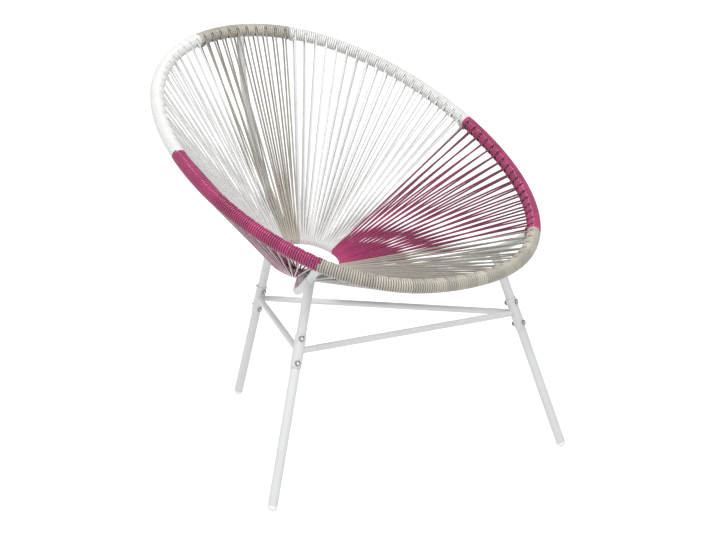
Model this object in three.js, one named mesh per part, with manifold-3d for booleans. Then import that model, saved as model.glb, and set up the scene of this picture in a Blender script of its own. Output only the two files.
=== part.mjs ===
// An acapulco chair: a wound steel hoop and a small ring joined by three struts, with cords stretched
// between them, on a bolted base of three splayed legs. It has no moving parts.
// Lengths are in millimetres. The floor is z = 0, the front of the chair faces -Y, +X is the sitter's left,
// and x = 0 is the middle plane of the chair.
import * as THREE from 'three';
import { mergeVertices } from 'three/addons/utils/BufferGeometryUtils.js';
import Module from 'manifold-3d';

const wasm = await Module();
wasm.setup();

// Hoop: the bent tube round the seat, an egg-shaped loop in space. At angle t from the front, each
// coordinate is a half size times a short sum of cosines or sines of t, 2t and 3t.
const hoopTube = 19;
const hoopHalfWidth = 343;
const hoopHalfDepth = 429;
const hoopHalfRise = 216;
const hoopMiddleY = -38;
const hoopMiddleZ = 613;
const hoopWidthShares = [1, -0.058, -0.04];
const hoopDepthShares = [1, -0.054, -0.064];
const hoopRiseShares = [1, -0.073, -0.045];

// Centre ring: the small ring at the bottom of the seat, tilted so that its front is lower.
const ringTube = 14;
const ringRadius = 79;
const ringMiddleY = 121;
const ringMiddleZ = 375;
const ringTiltDegrees = 19;

// Cord: wound in close turns on the hoop, and in loops from there to the ring and back.
const cordDiameter = 5;
const cordWidthAtHoop = 4.4;
const cordPitchShare = 0.7;
const strutCorridor = 10;

// Winding: one sleeve of turns for each colour, with shallow grooves. A rib stands for several turns.
const windingClearance = 0.4;
const windingGroove = 1.2;
const sectionGap = 0.3;
const loopsPerRib = 4 / 3;

// Struts: three bent tubes under the cords, welded to the hoop and the ring. A bend lies at a share of the
// way from the hoop to the ring, and drops below the middle of the cords there.
const strutTube = 16;
const weldGap = 0.3;
const strutEndInset = 3.5;
const frontBellyShare = 0.874;
const frontBellyDrop = 36;
const rearShoulderShare = 0.191;
const rearShoulderDrop = 30.3;
const rearWaistShare = 0.614;
const rearWaistDrop = 48.6;

// Legs: under each strut a stub, a lower leg, and the sleeve that they meet in. A foot is placed from where
// its strut meets the hoop. The leg runs straight from there to a bend of the strut, placed as above.
const legTube = 19;
const legWall = 1.5;
const sleeveTube = 22;
const sleeveLength = 66;
const sleeveClearance = 0.3;
const legEndGap = 1;
const stubEndInset = 2;
const frontFootOutward = 101.3;
const frontFootBackward = 19.8;
const frontJointHeight = 293;
const frontStubShare = 0.2234;
const frontStubDrop = 24.5;
const rearFootBackward = 38.3;
const rearJointHeight = 246;
const rearStubShare = 0.867;
const rearStubDrop = 18.4;

// Stretchers: the thin tubes between the sleeves.
const stretcherTube = 13;
const stretcherWall = 1.2;

// Bolts: a domed head with a hexagon recess, a shank through sleeve and tube, and a cap nut.
const boltSpacing = 48;
const boltShank = 6;
const boltHoleClearance = 0.3;
const boltHead = 11.5;
const boltHeadHeight = 3.4;
const boltRecess = 4;
const boltRecessDepth = 1.8;
const nutAcross = 10;
const nutHeight = 6;
const nutCap = 1.6;
const frontBoltTurnDegrees = 22;

// Foot plugs: a stem in the end of the tube and a round head, worn flat where it stands.
const plugStemLength = 18;
const plugStemClearance = 0.3;
const plugShoulder = 1.5;
const footFlat = 0.5;

// Sections of one colour from the front middle to the back middle of the hoop, alike on both sides.
// Each ends at a share of the half loop, holds so many cord loops, and is split into so many slices.
// The struts stand at the end of the front section and at the end of the back section.
const sections = [
  { name: 'front_taupe', colour: 'taupe', endShare: 0.223, loops: 12, slices: 2 },
  { name: 'magenta', colour: 'magenta', endShare: 0.543, loops: 17, slices: 3 },
  { name: 'white', colour: 'white', endShare: 0.909, loops: 19, slices: 3 },
  { name: 'back_taupe', colour: 'taupe', endShare: 1, loops: 5, slices: 1 },
];

// Facets, and how far a cutter runs past what it cuts.
const windingSides = 8;
const strandSides = 3;
const strutSides = 12;
const strutSteps = 14;
const legSides = 16;
const ballSteps = 5;
const domeSteps = 3;
const ringSteps = 2;
const loopsPerStation = 2;
const facetTolerance = 0.1;
const overrun = 30;

const finishes = {
  coat: { color: 0xf2f2ee, roughness: 0.42, metalness: 0 },
  plated: { color: 0xb9bcbd, roughness: 0.3, metalness: 0.9 },
  plug: { color: 0xe9e9e4, roughness: 0.6, metalness: 0 },
  white: { color: 0xf4f3ee, roughness: 0.38, metalness: 0 },
  magenta: { color: 0xa81f5f, roughness: 0.36, metalness: 0 },
  taupe: { color: 0xa59b8c, roughness: 0.38, metalness: 0 },
};

const vec = (x, y, z) => new THREE.Vector3(x, y, z);
const radians = THREE.MathUtils.degToRad;
const chair = new THREE.Group();

function addPiece(name, finish, geometry, parent = chair) {
  const mesh = new THREE.Mesh(geometry, new THREE.MeshStandardMaterial(finishes[finish]));
  mesh.name = name;
  parent.add(mesh);
}

// A closed mesh as a solid that can be cut or joined, and a solid back as a mesh.
function solidOf(geometry) {
  const bare = new THREE.BufferGeometry();
  bare.setAttribute('position', geometry.getAttribute('position').clone());
  if (geometry.index) bare.setIndex(geometry.index.clone());
  const merged = mergeVertices(bare);
  const vertProperties = merged.attributes.position.array;
  const triVerts = new Uint32Array(merged.index.array);
  return new wasm.Manifold(new wasm.Mesh({ numProp: 3, vertProperties, triVerts }));
}

function geometryOf(solid) {
  const mesh = solid.getMesh();
  const geometry = new THREE.BufferGeometry();
  geometry.setAttribute('position', new THREE.BufferAttribute(mesh.vertProperties, mesh.numProp));
  geometry.setIndex(new THREE.BufferAttribute(mesh.triVerts, 1));
  geometry.computeVertexNormals();
  return geometry;
}

// What is left of a solid after its cutters, with facets joined where they lie flat within a tolerance.
function trim(solid, cutters) {
  const left = cutters.reduce((rest, cutter) => rest.subtract(solidOf(cutter)), solid);
  return geometryOf(left.asOriginal().simplify(facetTolerance));
}

const cut = (geometry, cutters) => trim(solidOf(geometry), cutters);

// Joins a row of rings of points, each with the same count, into one closed surface. In a looped row
// the last ring meets the first, otherwise both ends are capped.
function loft(rings, looped) {
  const count = rings[0].length;
  const faces = [];
  const rows = looped ? rings.length : rings.length - 1;
  for (let i = 0; i < rows; i++) {
    const here = i * count;
    const next = ((i + 1) % rings.length) * count;
    for (let j = 0; j < count; j++) {
      const k = (j + 1) % count;
      faces.push(here + j, here + k, next + k, here + j, next + k, next + j);
    }
  }
  const last = (rings.length - 1) * count;
  for (let j = 1; j < count - 1 && !looped; j++) {
    faces.push(0, j + 1, j, last, last + j, last + j + 1);
  }
  const geometry = new THREE.BufferGeometry();
  const positions = rings.flat().flatMap((p) => [p.x, p.y, p.z]);
  geometry.setAttribute('position', new THREE.Float32BufferAttribute(positions, 3));
  geometry.setIndex(faces);
  geometry.computeVertexNormals();
  return geometry;
}

// A straight tube with a bore, from low to high on the local Z axis.
function straightTube(outer, bore, low, high, sides) {
  const outline = new THREE.Shape().absarc(0, 0, outer / 2, 0, 2 * Math.PI);
  if (bore) outline.holes.push(new THREE.Path().absarc(0, 0, bore / 2, 0, 2 * Math.PI, true));
  const settings = { depth: high - low, bevelEnabled: false, curveSegments: sides / 2 };
  return new THREE.ExtrudeGeometry(outline, settings).translate(0, 0, low);
}

// A solid bar from one point to another.
function barBetween(from, to, diameter, sides, bore = 0) {
  const bar = straightTube(diameter, bore, 0, from.distanceTo(to), sides);
  const turn = new THREE.Quaternion().setFromUnitVectors(vec(0, 0, 1), to.clone().sub(from).normalize());
  return bar.applyQuaternion(turn).translate(from.x, from.y, from.z);
}

// Paths of the hoop and the ring, by their angle from the front, growing towards the sitter's left.
const harmonics = (shares, wave) => shares.reduce((sum, share, i) => sum + share * wave(i + 1), 0);

function hoopPoint(t) {
  const x = hoopHalfWidth * harmonics(hoopWidthShares, (n) => Math.sin(n * t));
  const y = hoopMiddleY - hoopHalfDepth * harmonics(hoopDepthShares, (n) => Math.cos(n * t));
  const z = hoopMiddleZ - hoopHalfRise * harmonics(hoopRiseShares, (n) => Math.cos(n * t));
  return vec(x, y, z);
}

const ringTilt = radians(ringTiltDegrees);

function ringPoint(a) {
  const back = -ringRadius * Math.cos(a);
  const y = ringMiddleY + back * Math.cos(ringTilt);
  return vec(ringRadius * Math.sin(a), y, ringMiddleZ + back * Math.sin(ringTilt));
}

const angleStep = 1e-3;
const tangentOf = (path, t) => path(t + angleStep).sub(path(t - angleStep)).normalize();

// The part of a direction that is square to an axis.
function squareTo(axis, direction) {
  return direction.clone().addScaledVector(axis, -direction.dot(axis)).normalize();
}

// Distance along the hoop from the front middle to the back middle.
const arcSamples = 1440;
const arcTable = [0];
for (let i = 1; i <= arcSamples; i++) {
  const step = hoopPoint((i / arcSamples) * Math.PI).distanceTo(hoopPoint(((i - 1) / arcSamples) * Math.PI));
  arcTable.push(arcTable[i - 1] + step);
}
const halfLength = arcTable[arcSamples];

function hoopAngle(distance) {
  const reach = Math.min(Math.abs(distance), halfLength);
  const i = Math.max(1, arcTable.findIndex((value) => value >= reach));
  const part = (reach - arcTable[i - 1]) / (arcTable[i] - arcTable[i - 1]);
  return (Math.sign(distance) * (i - 1 + part) * Math.PI) / arcSamples;
}

// Places are counted in cord loops from the front middle, growing towards the sitter's left and on
// round the back. A whole number is a border between two loops, and a loop lies half way between.
let loopsSoFar = 0;
let lengthSoFar = 0;
sections.forEach((section) => {
  section.firstLoop = loopsSoFar;
  section.lastLoop = loopsSoFar + section.loops;
  section.start = lengthSoFar;
  section.pitch = (section.endShare * halfLength - lengthSoFar) / section.loops;
  loopsSoFar = section.lastLoop;
  lengthSoFar = section.endShare * halfLength;
});
const halfLoops = loopsSoFar;
const allLoops = 2 * halfLoops;
const loopTurn = (2 * Math.PI) / allLoops;
const ringPitch = ringRadius * loopTurn;
const strutLoop = sections[0].lastLoop;

function sectionAt(loop) {
  return sections.find((section) => Math.abs(loop) <= section.lastLoop) ?? sections[sections.length - 1];
}

function hoopAngleAt(loop) {
  const near = loop > halfLoops ? loop - allLoops : loop;
  const section = sectionAt(near);
  const distance = section.start + (Math.abs(near) - section.firstLoop) * section.pitch;
  return hoopAngle(Math.sign(near) * distance);
}

// Cross-section frames: "across" points from the hoop to the ring on both tubes, and "up" at the sitter.
function frameOn(path, angle, direction) {
  const along = tangentOf(path, angle);
  const across = squareTo(along, direction);
  return { at: path(angle), across, up: along.clone().cross(across) };
}

const chordAt = (loop) => ringPoint(loop * loopTurn).sub(hoopPoint(hoopAngleAt(loop)));
const hoopFrame = (loop) => frameOn(hoopPoint, hoopAngleAt(loop), chordAt(loop));

// The cords meet the ring at a slant, so its sections are slanted along the cords.
function ringFrame(loop) {
  const chord = chordAt(loop);
  const frame = frameOn(ringPoint, loop * loopTurn, chord);
  return { ...frame, across: chord.divideScalar(chord.dot(frame.across)) };
}

function onSection(frame, radius, angle) {
  const point = frame.at.clone().addScaledVector(frame.across, radius * Math.cos(angle));
  return point.addScaledVector(frame.up, radius * Math.sin(angle));
}

// The corners of a polygon round a tube, turned on by a share of one side.
function sectionRing(frame, radius, sides, turnShare = 0) {
  const corner = (_, i) => onSection(frame, radius, ((i + turnShare) / sides) * 2 * Math.PI);
  return Array.from({ length: sides }, corner);
}

function spread(from, to, count) {
  return Array.from({ length: count + 1 }, (_, i) => from + (i / count) * (to - from));
}

// Borders of the six windings, in loops, and of the fan slices on one half of the chair.
const [frontEnd, sideEnd, upperEnd] = sections.map((section) => section.lastLoop);
const windings = [
  { name: 'front_taupe_winding', colour: 'taupe', from: -frontEnd, to: frontEnd },
  { name: 'left_magenta_winding', colour: 'magenta', from: frontEnd, to: sideEnd },
  { name: 'left_white_winding', colour: 'white', from: sideEnd, to: upperEnd },
  { name: 'back_taupe_winding', colour: 'taupe', from: upperEnd, to: allLoops - upperEnd },
  { name: 'right_white_winding', colour: 'white', from: allLoops - upperEnd, to: allLoops - sideEnd },
  { name: 'right_magenta_winding', colour: 'magenta', from: allLoops - sideEnd, to: allLoops - frontEnd },
];
const slices = sections.flatMap((section) => {
  const borders = spread(section.firstLoop, section.lastLoop, section.slices).map(Math.round);
  return borders.slice(1).map((to, i) => {
    const number = section.slices > 1 ? '_' + (i + 1) : '';
    return { name: section.name + '_fan' + number, colour: section.colour, from: borders[i], to };
  });
});

// Stations shared by a tube and what is wound on it, so that their facets match.
function hoopStations(winding) {
  const count = Math.ceil((winding.to - winding.from) / loopsPerStation);
  return spread(winding.from, winding.to, count);
}

const ringStations = (from, to) => spread(from, to, ringSteps).map(Math.round);
const leftStations = slices.flatMap((slice) => ringStations(slice.from, slice.to).slice(1));
const rightStations = leftStations.slice(0, -1).reverse().map((loop) => -loop);
const hoopRound = windings.flatMap((winding) => hoopStations(winding).slice(1));
const ringRound = [...rightStations, 0, ...leftStations];

const hoopRadius = hoopTube / 2;
const ringTubeRadius = ringTube / 2;
const hoopSection = (loop, radius) => sectionRing(hoopFrame(loop), radius, windingSides);
const hoopSolid = (radius) => loft(hoopRound.map((loop) => hoopSection(loop, radius)), true);
const ringSection = (loop, radius) => sectionRing(ringFrame(loop), radius, windingSides, 1 / 2);
const ringSolid = (radius) => loft(ringRound.map((loop) => ringSection(loop, radius)), true);
addPiece('rim_hoop', 'coat', hoopSolid(hoopRadius));
addPiece('centre_ring', 'coat', ringSolid(ringTubeRadius));
const hoopCutter = hoopSolid(hoopRadius + weldGap);
const ringCutter = ringSolid(ringTubeRadius + weldGap);

// A point at a share of the way from the hoop to the ring, dropped square to the cords.
function belowCords(loop, share, drop) {
  const { at, up } = hoopFrame(loop);
  return at.addScaledVector(chordAt(loop), share).addScaledVector(up, -drop);
}

// Corners of the base. Each has its foot, its joint and the top of its stub on one line, and a frame whose
// Z runs up the leg and whose -Y is the side of the bolt heads.
function makeCorner(name, loop, { footOutward, footBackward, jointHeight, top, boltTurn }) {
  const weld = hoopPoint(hoopAngleAt(loop));
  const foot = vec(weld.x + footOutward, weld.y + footBackward, 0);
  const up = top.clone().sub(foot).normalize();
  const joint = foot.clone().addScaledVector(up, jointHeight / up.z);
  const heads = squareTo(up, vec(Math.sin(boltTurn), -Math.cos(boltTurn), 0));
  const side = heads.clone().negate().cross(up);
  const group = new THREE.Group();
  group.applyMatrix4(new THREE.Matrix4().makeBasis(side, heads.clone().negate(), up).setPosition(joint));
  group.updateMatrix();
  chair.add(group);
  const stubLength = top.distanceTo(joint);
  return { name, loop, foot, joint, up, top, group, stubLength, length: foot.distanceTo(joint) };
}

function frontCorner(name, side) {
  return makeCorner(name, side * strutLoop, {
    footOutward: side * frontFootOutward,
    footBackward: frontFootBackward,
    jointHeight: frontJointHeight,
    top: belowCords(side * strutLoop, frontStubShare, frontStubDrop),
    boltTurn: side * radians(frontBoltTurnDegrees),
  });
}

const rearCorner = makeCorner('rear', halfLoops, {
  footOutward: 0,
  footBackward: rearFootBackward,
  jointHeight: rearJointHeight,
  top: belowCords(halfLoops, rearStubShare, rearStubDrop),
  boltTurn: 0,
});
const corners = [frontCorner('right_front', -1), frontCorner('left_front', 1), rearCorner];

// Struts: each starts in the hoop, passes over its leg stub and ends at the ring.
function strutPoints({ loop, top }) {
  const from = belowCords(loop, 0, 0);
  const to = belowCords(loop, 1, 0);
  if (Math.abs(loop) === strutLoop) {
    return [from, top, belowCords(loop, frontBellyShare, frontBellyDrop), to];
  }
  const shoulder = belowCords(loop, rearShoulderShare, rearShoulderDrop);
  const waist = belowCords(loop, rearWaistShare, rearWaistDrop);
  return [from, shoulder, waist, top, to];
}

function strutSolid(corner, diameter) {
  const points = strutPoints(corner);
  const last = points.length - 1;
  const ending = points[last].clone().sub(points[last - 1]).normalize();
  points[last].addScaledVector(ending, -strutEndInset);
  const extrudePath = new THREE.CatmullRomCurve3(points);
  const outline = new THREE.Shape().absarc(0, 0, diameter / 2, 0, 2 * Math.PI);
  const settings = { steps: strutSteps, extrudePath, curveSegments: strutSides / 2, bevelEnabled: false };
  return new THREE.ExtrudeGeometry(outline, settings);
}

const strutCutters = corners.map((corner) => strutSolid(corner, strutTube + 2 * weldGap));
corners.forEach((corner) => {
  addPiece(corner.name + '_strut', 'coat', cut(strutSolid(corner, strutTube), [hoopCutter, ringCutter]));
});

// Legs, in the corner's own frame: the joint is at the origin and the foot is below it.
function legPieces(corner, index) {
  const { name, group } = corner;
  const intoCorner = group.matrix.clone().invert();
  const bore = legTube - 2 * legWall;
  const headRadius = legTube / 2;
  const headHeight = -corner.length + (headRadius - footFlat) / corner.up.z;
  const legBottom = headHeight + plugShoulder + weldGap;
  const hole = (z) => {
    const across = straightTube(boltShank + 2 * boltHoleClearance, 0, -sleeveTube, sleeveTube, strutSides);
    return across.rotateX(Math.PI / 2).translate(0, 0, z);
  };
  const upperHole = hole(boltSpacing / 2);
  const lowerHole = hole(-boltSpacing / 2);

  const stub = straightTube(legTube, bore, legEndGap / 2, corner.stubLength - stubEndInset, legSides);
  const strutCutter = strutCutters[index].clone().applyMatrix4(intoCorner);
  addPiece(name + '_leg_stub', 'coat', cut(stub, [strutCutter, upperHole]), group);

  const leg = straightTube(legTube, bore, legBottom, -legEndGap / 2, legSides);
  addPiece(name + '_lower_leg', 'coat', cut(leg, [lowerHole]), group);

  const sleeveBore = legTube + 2 * sleeveClearance;
  const sleeve = straightTube(sleeveTube, sleeveBore, -sleeveLength / 2, sleeveLength / 2, legSides);
  addPiece(name + '_joint_sleeve', 'coat', cut(sleeve, [upperHole, lowerHole]), group);

  const stemRadius = bore / 2 - plugStemClearance;
  addPiece(name + '_foot_plug', 'plug', footPlug(headHeight, stemRadius, intoCorner), group);
  addBolt(name + '_upper', boltSpacing / 2, group);
  addBolt(name + '_lower', -boltSpacing / 2, group);
}

// A stem, a shoulder and half a ball, cut by the floor.
function footPlug(headHeight, stemRadius, intoCorner) {
  const radius = legTube / 2;
  const profile = [new THREE.Vector2(0, headHeight - radius)];
  for (let i = 1; i <= ballSteps; i++) {
    const angle = (i / ballSteps) * (Math.PI / 2);
    profile.push(new THREE.Vector2(radius * Math.sin(angle), headHeight - radius * Math.cos(angle)));
  }
  const shoulder = headHeight + plugShoulder;
  const top = shoulder + plugStemLength;
  profile.push(new THREE.Vector2(radius, shoulder), new THREE.Vector2(stemRadius, shoulder));
  profile.push(new THREE.Vector2(stemRadius, top), new THREE.Vector2(0, top));
  const plug = new THREE.LatheGeometry(profile, legSides).rotateX(Math.PI / 2);
  const floor = new THREE.BoxGeometry(legTube * 2, legTube * 2, overrun).translate(0, 0, -overrun / 2);
  const sole = vec(0, 0, headHeight).applyMatrix4(intoCorner.clone().invert());
  return cut(plug, [floor.translate(sole.x, sole.y, 0).applyMatrix4(intoCorner)]);
}

// A bolt through the sleeve along the local Y axis, with its head at -Y and its cap nut at +Y.
function addBolt(name, z, group) {
  const seat = sleeveTube / 2 + weldGap;
  const headRadius = boltHead / 2;
  const shankRadius = boltShank / 2;
  const shankEnd = seat + nutHeight - nutCap - weldGap;
  const profile = [new THREE.Vector2(0, -shankEnd), new THREE.Vector2(shankRadius, -shankEnd)];
  profile.push(new THREE.Vector2(shankRadius, seat), new THREE.Vector2(headRadius, seat));
  for (let i = 1; i <= domeSteps; i++) {
    const angle = (i / domeSteps) * (Math.PI / 2);
    profile.push(new THREE.Vector2(headRadius * Math.cos(angle), seat + boltHeadHeight * Math.sin(angle)));
  }
  const body = new THREE.LatheGeometry(profile, strutSides);
  const recess = new THREE.CylinderGeometry(boltRecess / 2, boltRecess / 2, overrun, 6);
  recess.translate(0, seat + boltHeadHeight - boltRecessDepth + overrun / 2, 0);
  const bolt = cut(body, [recess]).rotateX(Math.PI).translate(0, 0, z);
  addPiece(name + '_bolt', 'plated', bolt, group);

  const cornerRadius = nutAcross / 2 / Math.cos(Math.PI / 6);
  const shoulder = nutHeight / 2;
  const capProfile = [new THREE.Vector2(0, 0), new THREE.Vector2(cornerRadius + weldGap, 0)];
  for (let i = 0; i <= domeSteps; i++) {
    const angle = (i / domeSteps) * (Math.PI / 2);
    const radius = (cornerRadius + weldGap) * Math.cos(angle);
    capProfile.push(new THREE.Vector2(radius, shoulder + (nutHeight - shoulder) * Math.sin(angle)));
  }
  const hexagon = new THREE.CylinderGeometry(cornerRadius, cornerRadius, nutHeight, 6);
  hexagon.translate(0, nutHeight / 2, 0);
  const dome = new THREE.LatheGeometry(capProfile, strutSides);
  const blindRadius = shankRadius + boltHoleClearance;
  const blind = new THREE.CylinderGeometry(blindRadius, blindRadius, overrun, strutSides);
  blind.translate(0, nutHeight - nutCap - overrun / 2, 0);
  const nut = solidOf(hexagon).intersect(solidOf(dome)).subtract(solidOf(blind));
  addPiece(name + '_cap_nut', 'plated', geometryOf(nut).translate(0, seat, 0).translate(0, 0, z), group);
}

corners.forEach(legPieces);

// Stretchers: tubes between the joints, shaped to the sleeves and mitred against each other.
function sleeveCutter(corner) {
  const reach = sleeveLength;
  const from = corner.joint.clone().addScaledVector(corner.up, -reach);
  const to = corner.joint.clone().addScaledVector(corner.up, reach);
  return barBetween(from, to, sleeveTube + 2 * weldGap, legSides);
}

function mitreCutter(corner, towards, other) {
  const here = towards.joint.clone().sub(corner.joint).normalize();
  const there = other.joint.clone().sub(corner.joint).normalize();
  const normal = here.sub(there).normalize();
  const size = 2 * sleeveTube;
  const block = new THREE.BoxGeometry(size, size, size).translate((weldGap - size) / 2, 0, 0);
  const turn = new THREE.Quaternion().setFromUnitVectors(vec(1, 0, 0), normal);
  return block.applyQuaternion(turn).translate(corner.joint.x, corner.joint.y, corner.joint.z);
}

corners.forEach((from, i) => {
  const to = corners[(i + 1) % corners.length];
  const third = corners[(i + 2) % corners.length];
  const bore = stretcherTube - 2 * stretcherWall;
  const tube = barBetween(from.joint, to.joint, stretcherTube, strutSides, bore);
  const mitres = [mitreCutter(from, to, third), mitreCutter(to, from, third)];
  const side = { right_front: 'front', left_front: 'left', rear: 'right' }[from.name];
  addPiece(side + '_stretcher', 'coat', cut(tube, [sleeveCutter(from), sleeveCutter(to), ...mitres]));
});

// A sleeve round a tube: rings of its outside one way, then rings of its bore back again.
const sleeveSolid = (outside, inside) => loft([...outside, ...inside.reverse()], true);

// Both ends of a row of stations, drawn in by half the gap between two sections.
function trimmed(stations, pitch) {
  const inset = sectionGap / 2 / pitch;
  return [stations[0] + inset, ...stations.slice(1, -1), stations[stations.length - 1] - inset];
}

// Windings: a rib and a groove by turns, with a notch where a strut comes through.
const windingRadius = hoopRadius + cordDiameter;

windings.forEach((winding) => {
  const pitch = sections.find((section) => section.colour === winding.colour).pitch;
  const ribs = Math.round((winding.to - winding.from) / loopsPerRib);
  const ribStations = trimmed(spread(winding.from, winding.to, 2 * ribs), pitch);
  const boreStations = trimmed(hoopStations(winding), pitch);
  const ribRadius = (i) => windingRadius - (i % 2 ? 0 : windingGroove);
  const outside = ribStations.map((loop, i) => hoopSection(loop, ribRadius(i)));
  const inside = boreStations.map((loop) => hoopSection(loop, hoopRadius + windingClearance));
  addPiece(winding.name, winding.colour, cut(sleeveSolid(outside, inside), strutCutters));
});

// Fans: each slice holds its cords in two layers and its arc of the loops round the ring. Beside a
// strut the lower cords crowd together at the ring, to leave the strut its corridor.
const strutPlaces = [strutLoop, halfLoops];
const crowding = strutCorridor / ringPitch - 1 / 2;

function lowerPlace(loop, slice) {
  const steps = slice.to - slice.from - 1;
  if (strutPlaces.includes(slice.to)) return loop - (crowding * (loop - slice.from - 1 / 2)) / steps;
  if (strutPlaces.includes(slice.from)) return loop + (crowding * (slice.to - loop - 1 / 2)) / steps;
  return loop;
}

// One cord, from just clear of the winding to the middle of the ring's loops.
function strand(hoopLoop, ringLoop, layer, ringWidth) {
  const leaving = hoopFrame(hoopLoop);
  const offset = hoopRadius + cordDiameter / 2;
  const from = onSection(leaving, offset, (layer * Math.PI) / 2);
  const flatShare = Math.cos(Math.PI / windingSides);
  const landing = (ringTubeRadius + cordDiameter / 2) * flatShare;
  const to = onSection(ringFrame(ringLoop), landing, (layer * Math.PI) / 2);
  const along = to.clone().sub(from).normalize();
  const facing = along.dot(leaving.across);
  const lean = Math.sqrt(1 - facing * facing);
  const reach = windingRadius + weldGap;
  const edge = offset - cordWidthAtHoop / 2;
  const clear = Math.sqrt(reach * reach - edge * edge) + (cordWidthAtHoop / 2) * lean;
  from.addScaledVector(along, clear / facing);
  const across = leaving.up.clone().cross(along).normalize();
  const frame = { across, up: along.clone().cross(across) };
  const turnShare = layer > 0 ? 3 / 4 : 1 / 4;
  const cornerShare = 1 / (2 * Math.sin(Math.PI / strandSides));
  const section = (at, width) => sectionRing({ ...frame, at }, width * cornerShare, strandSides, turnShare);
  return loft([section(from, cordWidthAtHoop), section(to, ringWidth)], false);
}

function fanPiece(slice, side, sideName) {
  const leftOnes = ringStations(slice.from, slice.to);
  const rightOnes = leftOnes.map((loop) => -loop).reverse();
  const stations = trimmed(side > 0 ? leftOnes : rightOnes, ringPitch);
  const outside = stations.map((loop) => ringSection(loop, ringTubeRadius + cordDiameter));
  const inside = stations.map((loop) => ringSection(loop, ringTubeRadius + windingClearance));
  const pieces = [solidOf(sleeveSolid(outside, inside))];
  const width = ringPitch * cordPitchShare;
  const stretch = lowerPlace(slice.to, slice) - lowerPlace(slice.to - 1, slice);
  for (let loop = slice.from + 1 / 2; loop < slice.to; loop++) {
    pieces.push(solidOf(strand(side * loop, side * loop, 1, width)));
    pieces.push(solidOf(strand(side * loop, side * lowerPlace(loop, slice), -1, width * stretch)));
  }
  const fan = pieces.reduce((sum, piece) => sum.add(piece));
  addPiece(sideName + '_' + slice.name, slice.colour, trim(fan, strutCutters));
}

slices.forEach((slice) => fanPiece(slice, 1, 'left'));
slices.forEach((slice) => fanPiece(slice, -1, 'right'));

export default chair;
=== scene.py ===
"""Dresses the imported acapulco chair: wound cords, bent and bolted tubes, and their finishes.

Lengths are in metres. The floor is z = 0, the front of the chair faces -Y, +X is the sitter's left,
and x = 0 is the middle plane. Places on the hoop and the ring are counted in cord loops from the front
middle, growing towards the sitter's left and on round the back.
"""
import logging
import math
from dataclasses import dataclass
from enum import Enum

import bpy
import numpy as np
from mathutils import Matrix


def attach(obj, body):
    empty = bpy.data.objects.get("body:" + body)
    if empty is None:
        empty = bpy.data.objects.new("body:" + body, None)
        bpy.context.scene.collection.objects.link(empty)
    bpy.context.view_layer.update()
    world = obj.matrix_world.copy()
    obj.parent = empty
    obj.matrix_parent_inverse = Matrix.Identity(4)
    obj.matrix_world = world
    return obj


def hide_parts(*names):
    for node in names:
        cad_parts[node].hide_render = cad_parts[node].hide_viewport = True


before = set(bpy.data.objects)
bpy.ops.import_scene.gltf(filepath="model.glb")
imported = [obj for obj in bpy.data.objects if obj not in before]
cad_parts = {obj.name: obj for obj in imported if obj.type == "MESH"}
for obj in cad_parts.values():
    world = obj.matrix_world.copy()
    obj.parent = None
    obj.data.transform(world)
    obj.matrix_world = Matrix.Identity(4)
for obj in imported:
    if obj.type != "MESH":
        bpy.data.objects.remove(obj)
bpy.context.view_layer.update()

Array = np.ndarray
Span = tuple[float, float]
Triple = tuple[float, float, float]
TURN = 2 * math.pi
UP = np.array([0.0, 0.0, 1.0])
log = logging.getLogger("chair")


# Vectors, curves and sections


def unit(vectors: Array) -> Array:
    """Vectors divided by their own lengths."""
    return vectors / np.linalg.norm(vectors, axis=-1, keepdims=True)


def dot(first: Array, second: Array) -> Array:
    """Dot products along the last axis, which is kept."""
    return np.sum(first * second, axis=-1, keepdims=True)


def square_to(vectors: Array, axis: Array) -> Array:
    """The part of each vector that is square to a unit axis, made a unit vector."""
    return unit(vectors - axis * dot(vectors, axis))


def ease(values: Array, low: float, high: float) -> Array:
    """A smooth step from 0 at low to 1 at high: 3 s^2 - 2 s^3 of the clipped share s."""
    share = np.clip((values - low) / (high - low), 0.0, 1.0)
    return share * share * (3.0 - 2.0 * share)


def around(count: int) -> Array:
    """Angles evenly spaced round a circle."""
    return np.arange(count) / count * TURN


def hermite(start: Array, end: Array, leaving: Array, arriving: Array, share: Array) -> Array:
    """Cubic curve between two points with given end directions: the usual Hermite blend of the four.

    Args:
        start: First point.
        end: Last point.
        leaving: Direction and speed at the start.
        arriving: Direction and speed at the end.
        share: How far along, from 0 to 1.

    Returns:
        Points of the curve.
    """
    s2, s3 = share * share, share ** 3
    ends = (2 * s3 - 3 * s2 + 1) * start + (3 * s2 - 2 * s3) * end
    return ends + (s3 - 2 * s2 + share) * leaving + (s3 - s2) * arriving


def catmull_rom(points: Array, samples: int) -> Array:
    """A smooth curve through points.

    Each span is a cubic whose end directions come from the distances between the points to the power of a
    half, and the points before the first and after the last mirror the ends.

    Args:
        points: Points to pass through, shaped (points, 3).
        samples: Stations in each span.

    Returns:
        Stations shaped (spans * samples + 1, 3).
    """
    ends = np.concatenate([[2 * points[0] - points[1]], points, [2 * points[-1] - points[-2]]])
    gaps = np.sqrt(np.linalg.norm(np.diff(ends, axis=0), axis=1))[:, None]
    slopes = np.diff(ends, axis=0) / gaps
    wide = (ends[2:] - ends[:-2]) / (gaps[1:] + gaps[:-1])
    tangents = slopes[:-1] - wide + slopes[1:]
    share = np.linspace(0.0, 1.0, samples, endpoint=False)[None, :, None]
    span = gaps[1:-1, None]
    leaving, arriving = tangents[:-1, None] * span, tangents[1:, None] * span
    curve = hermite(points[:-1, None], points[1:, None], leaving, arriving, share)
    return np.concatenate([curve.reshape(-1, 3), points[-1:]])


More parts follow.
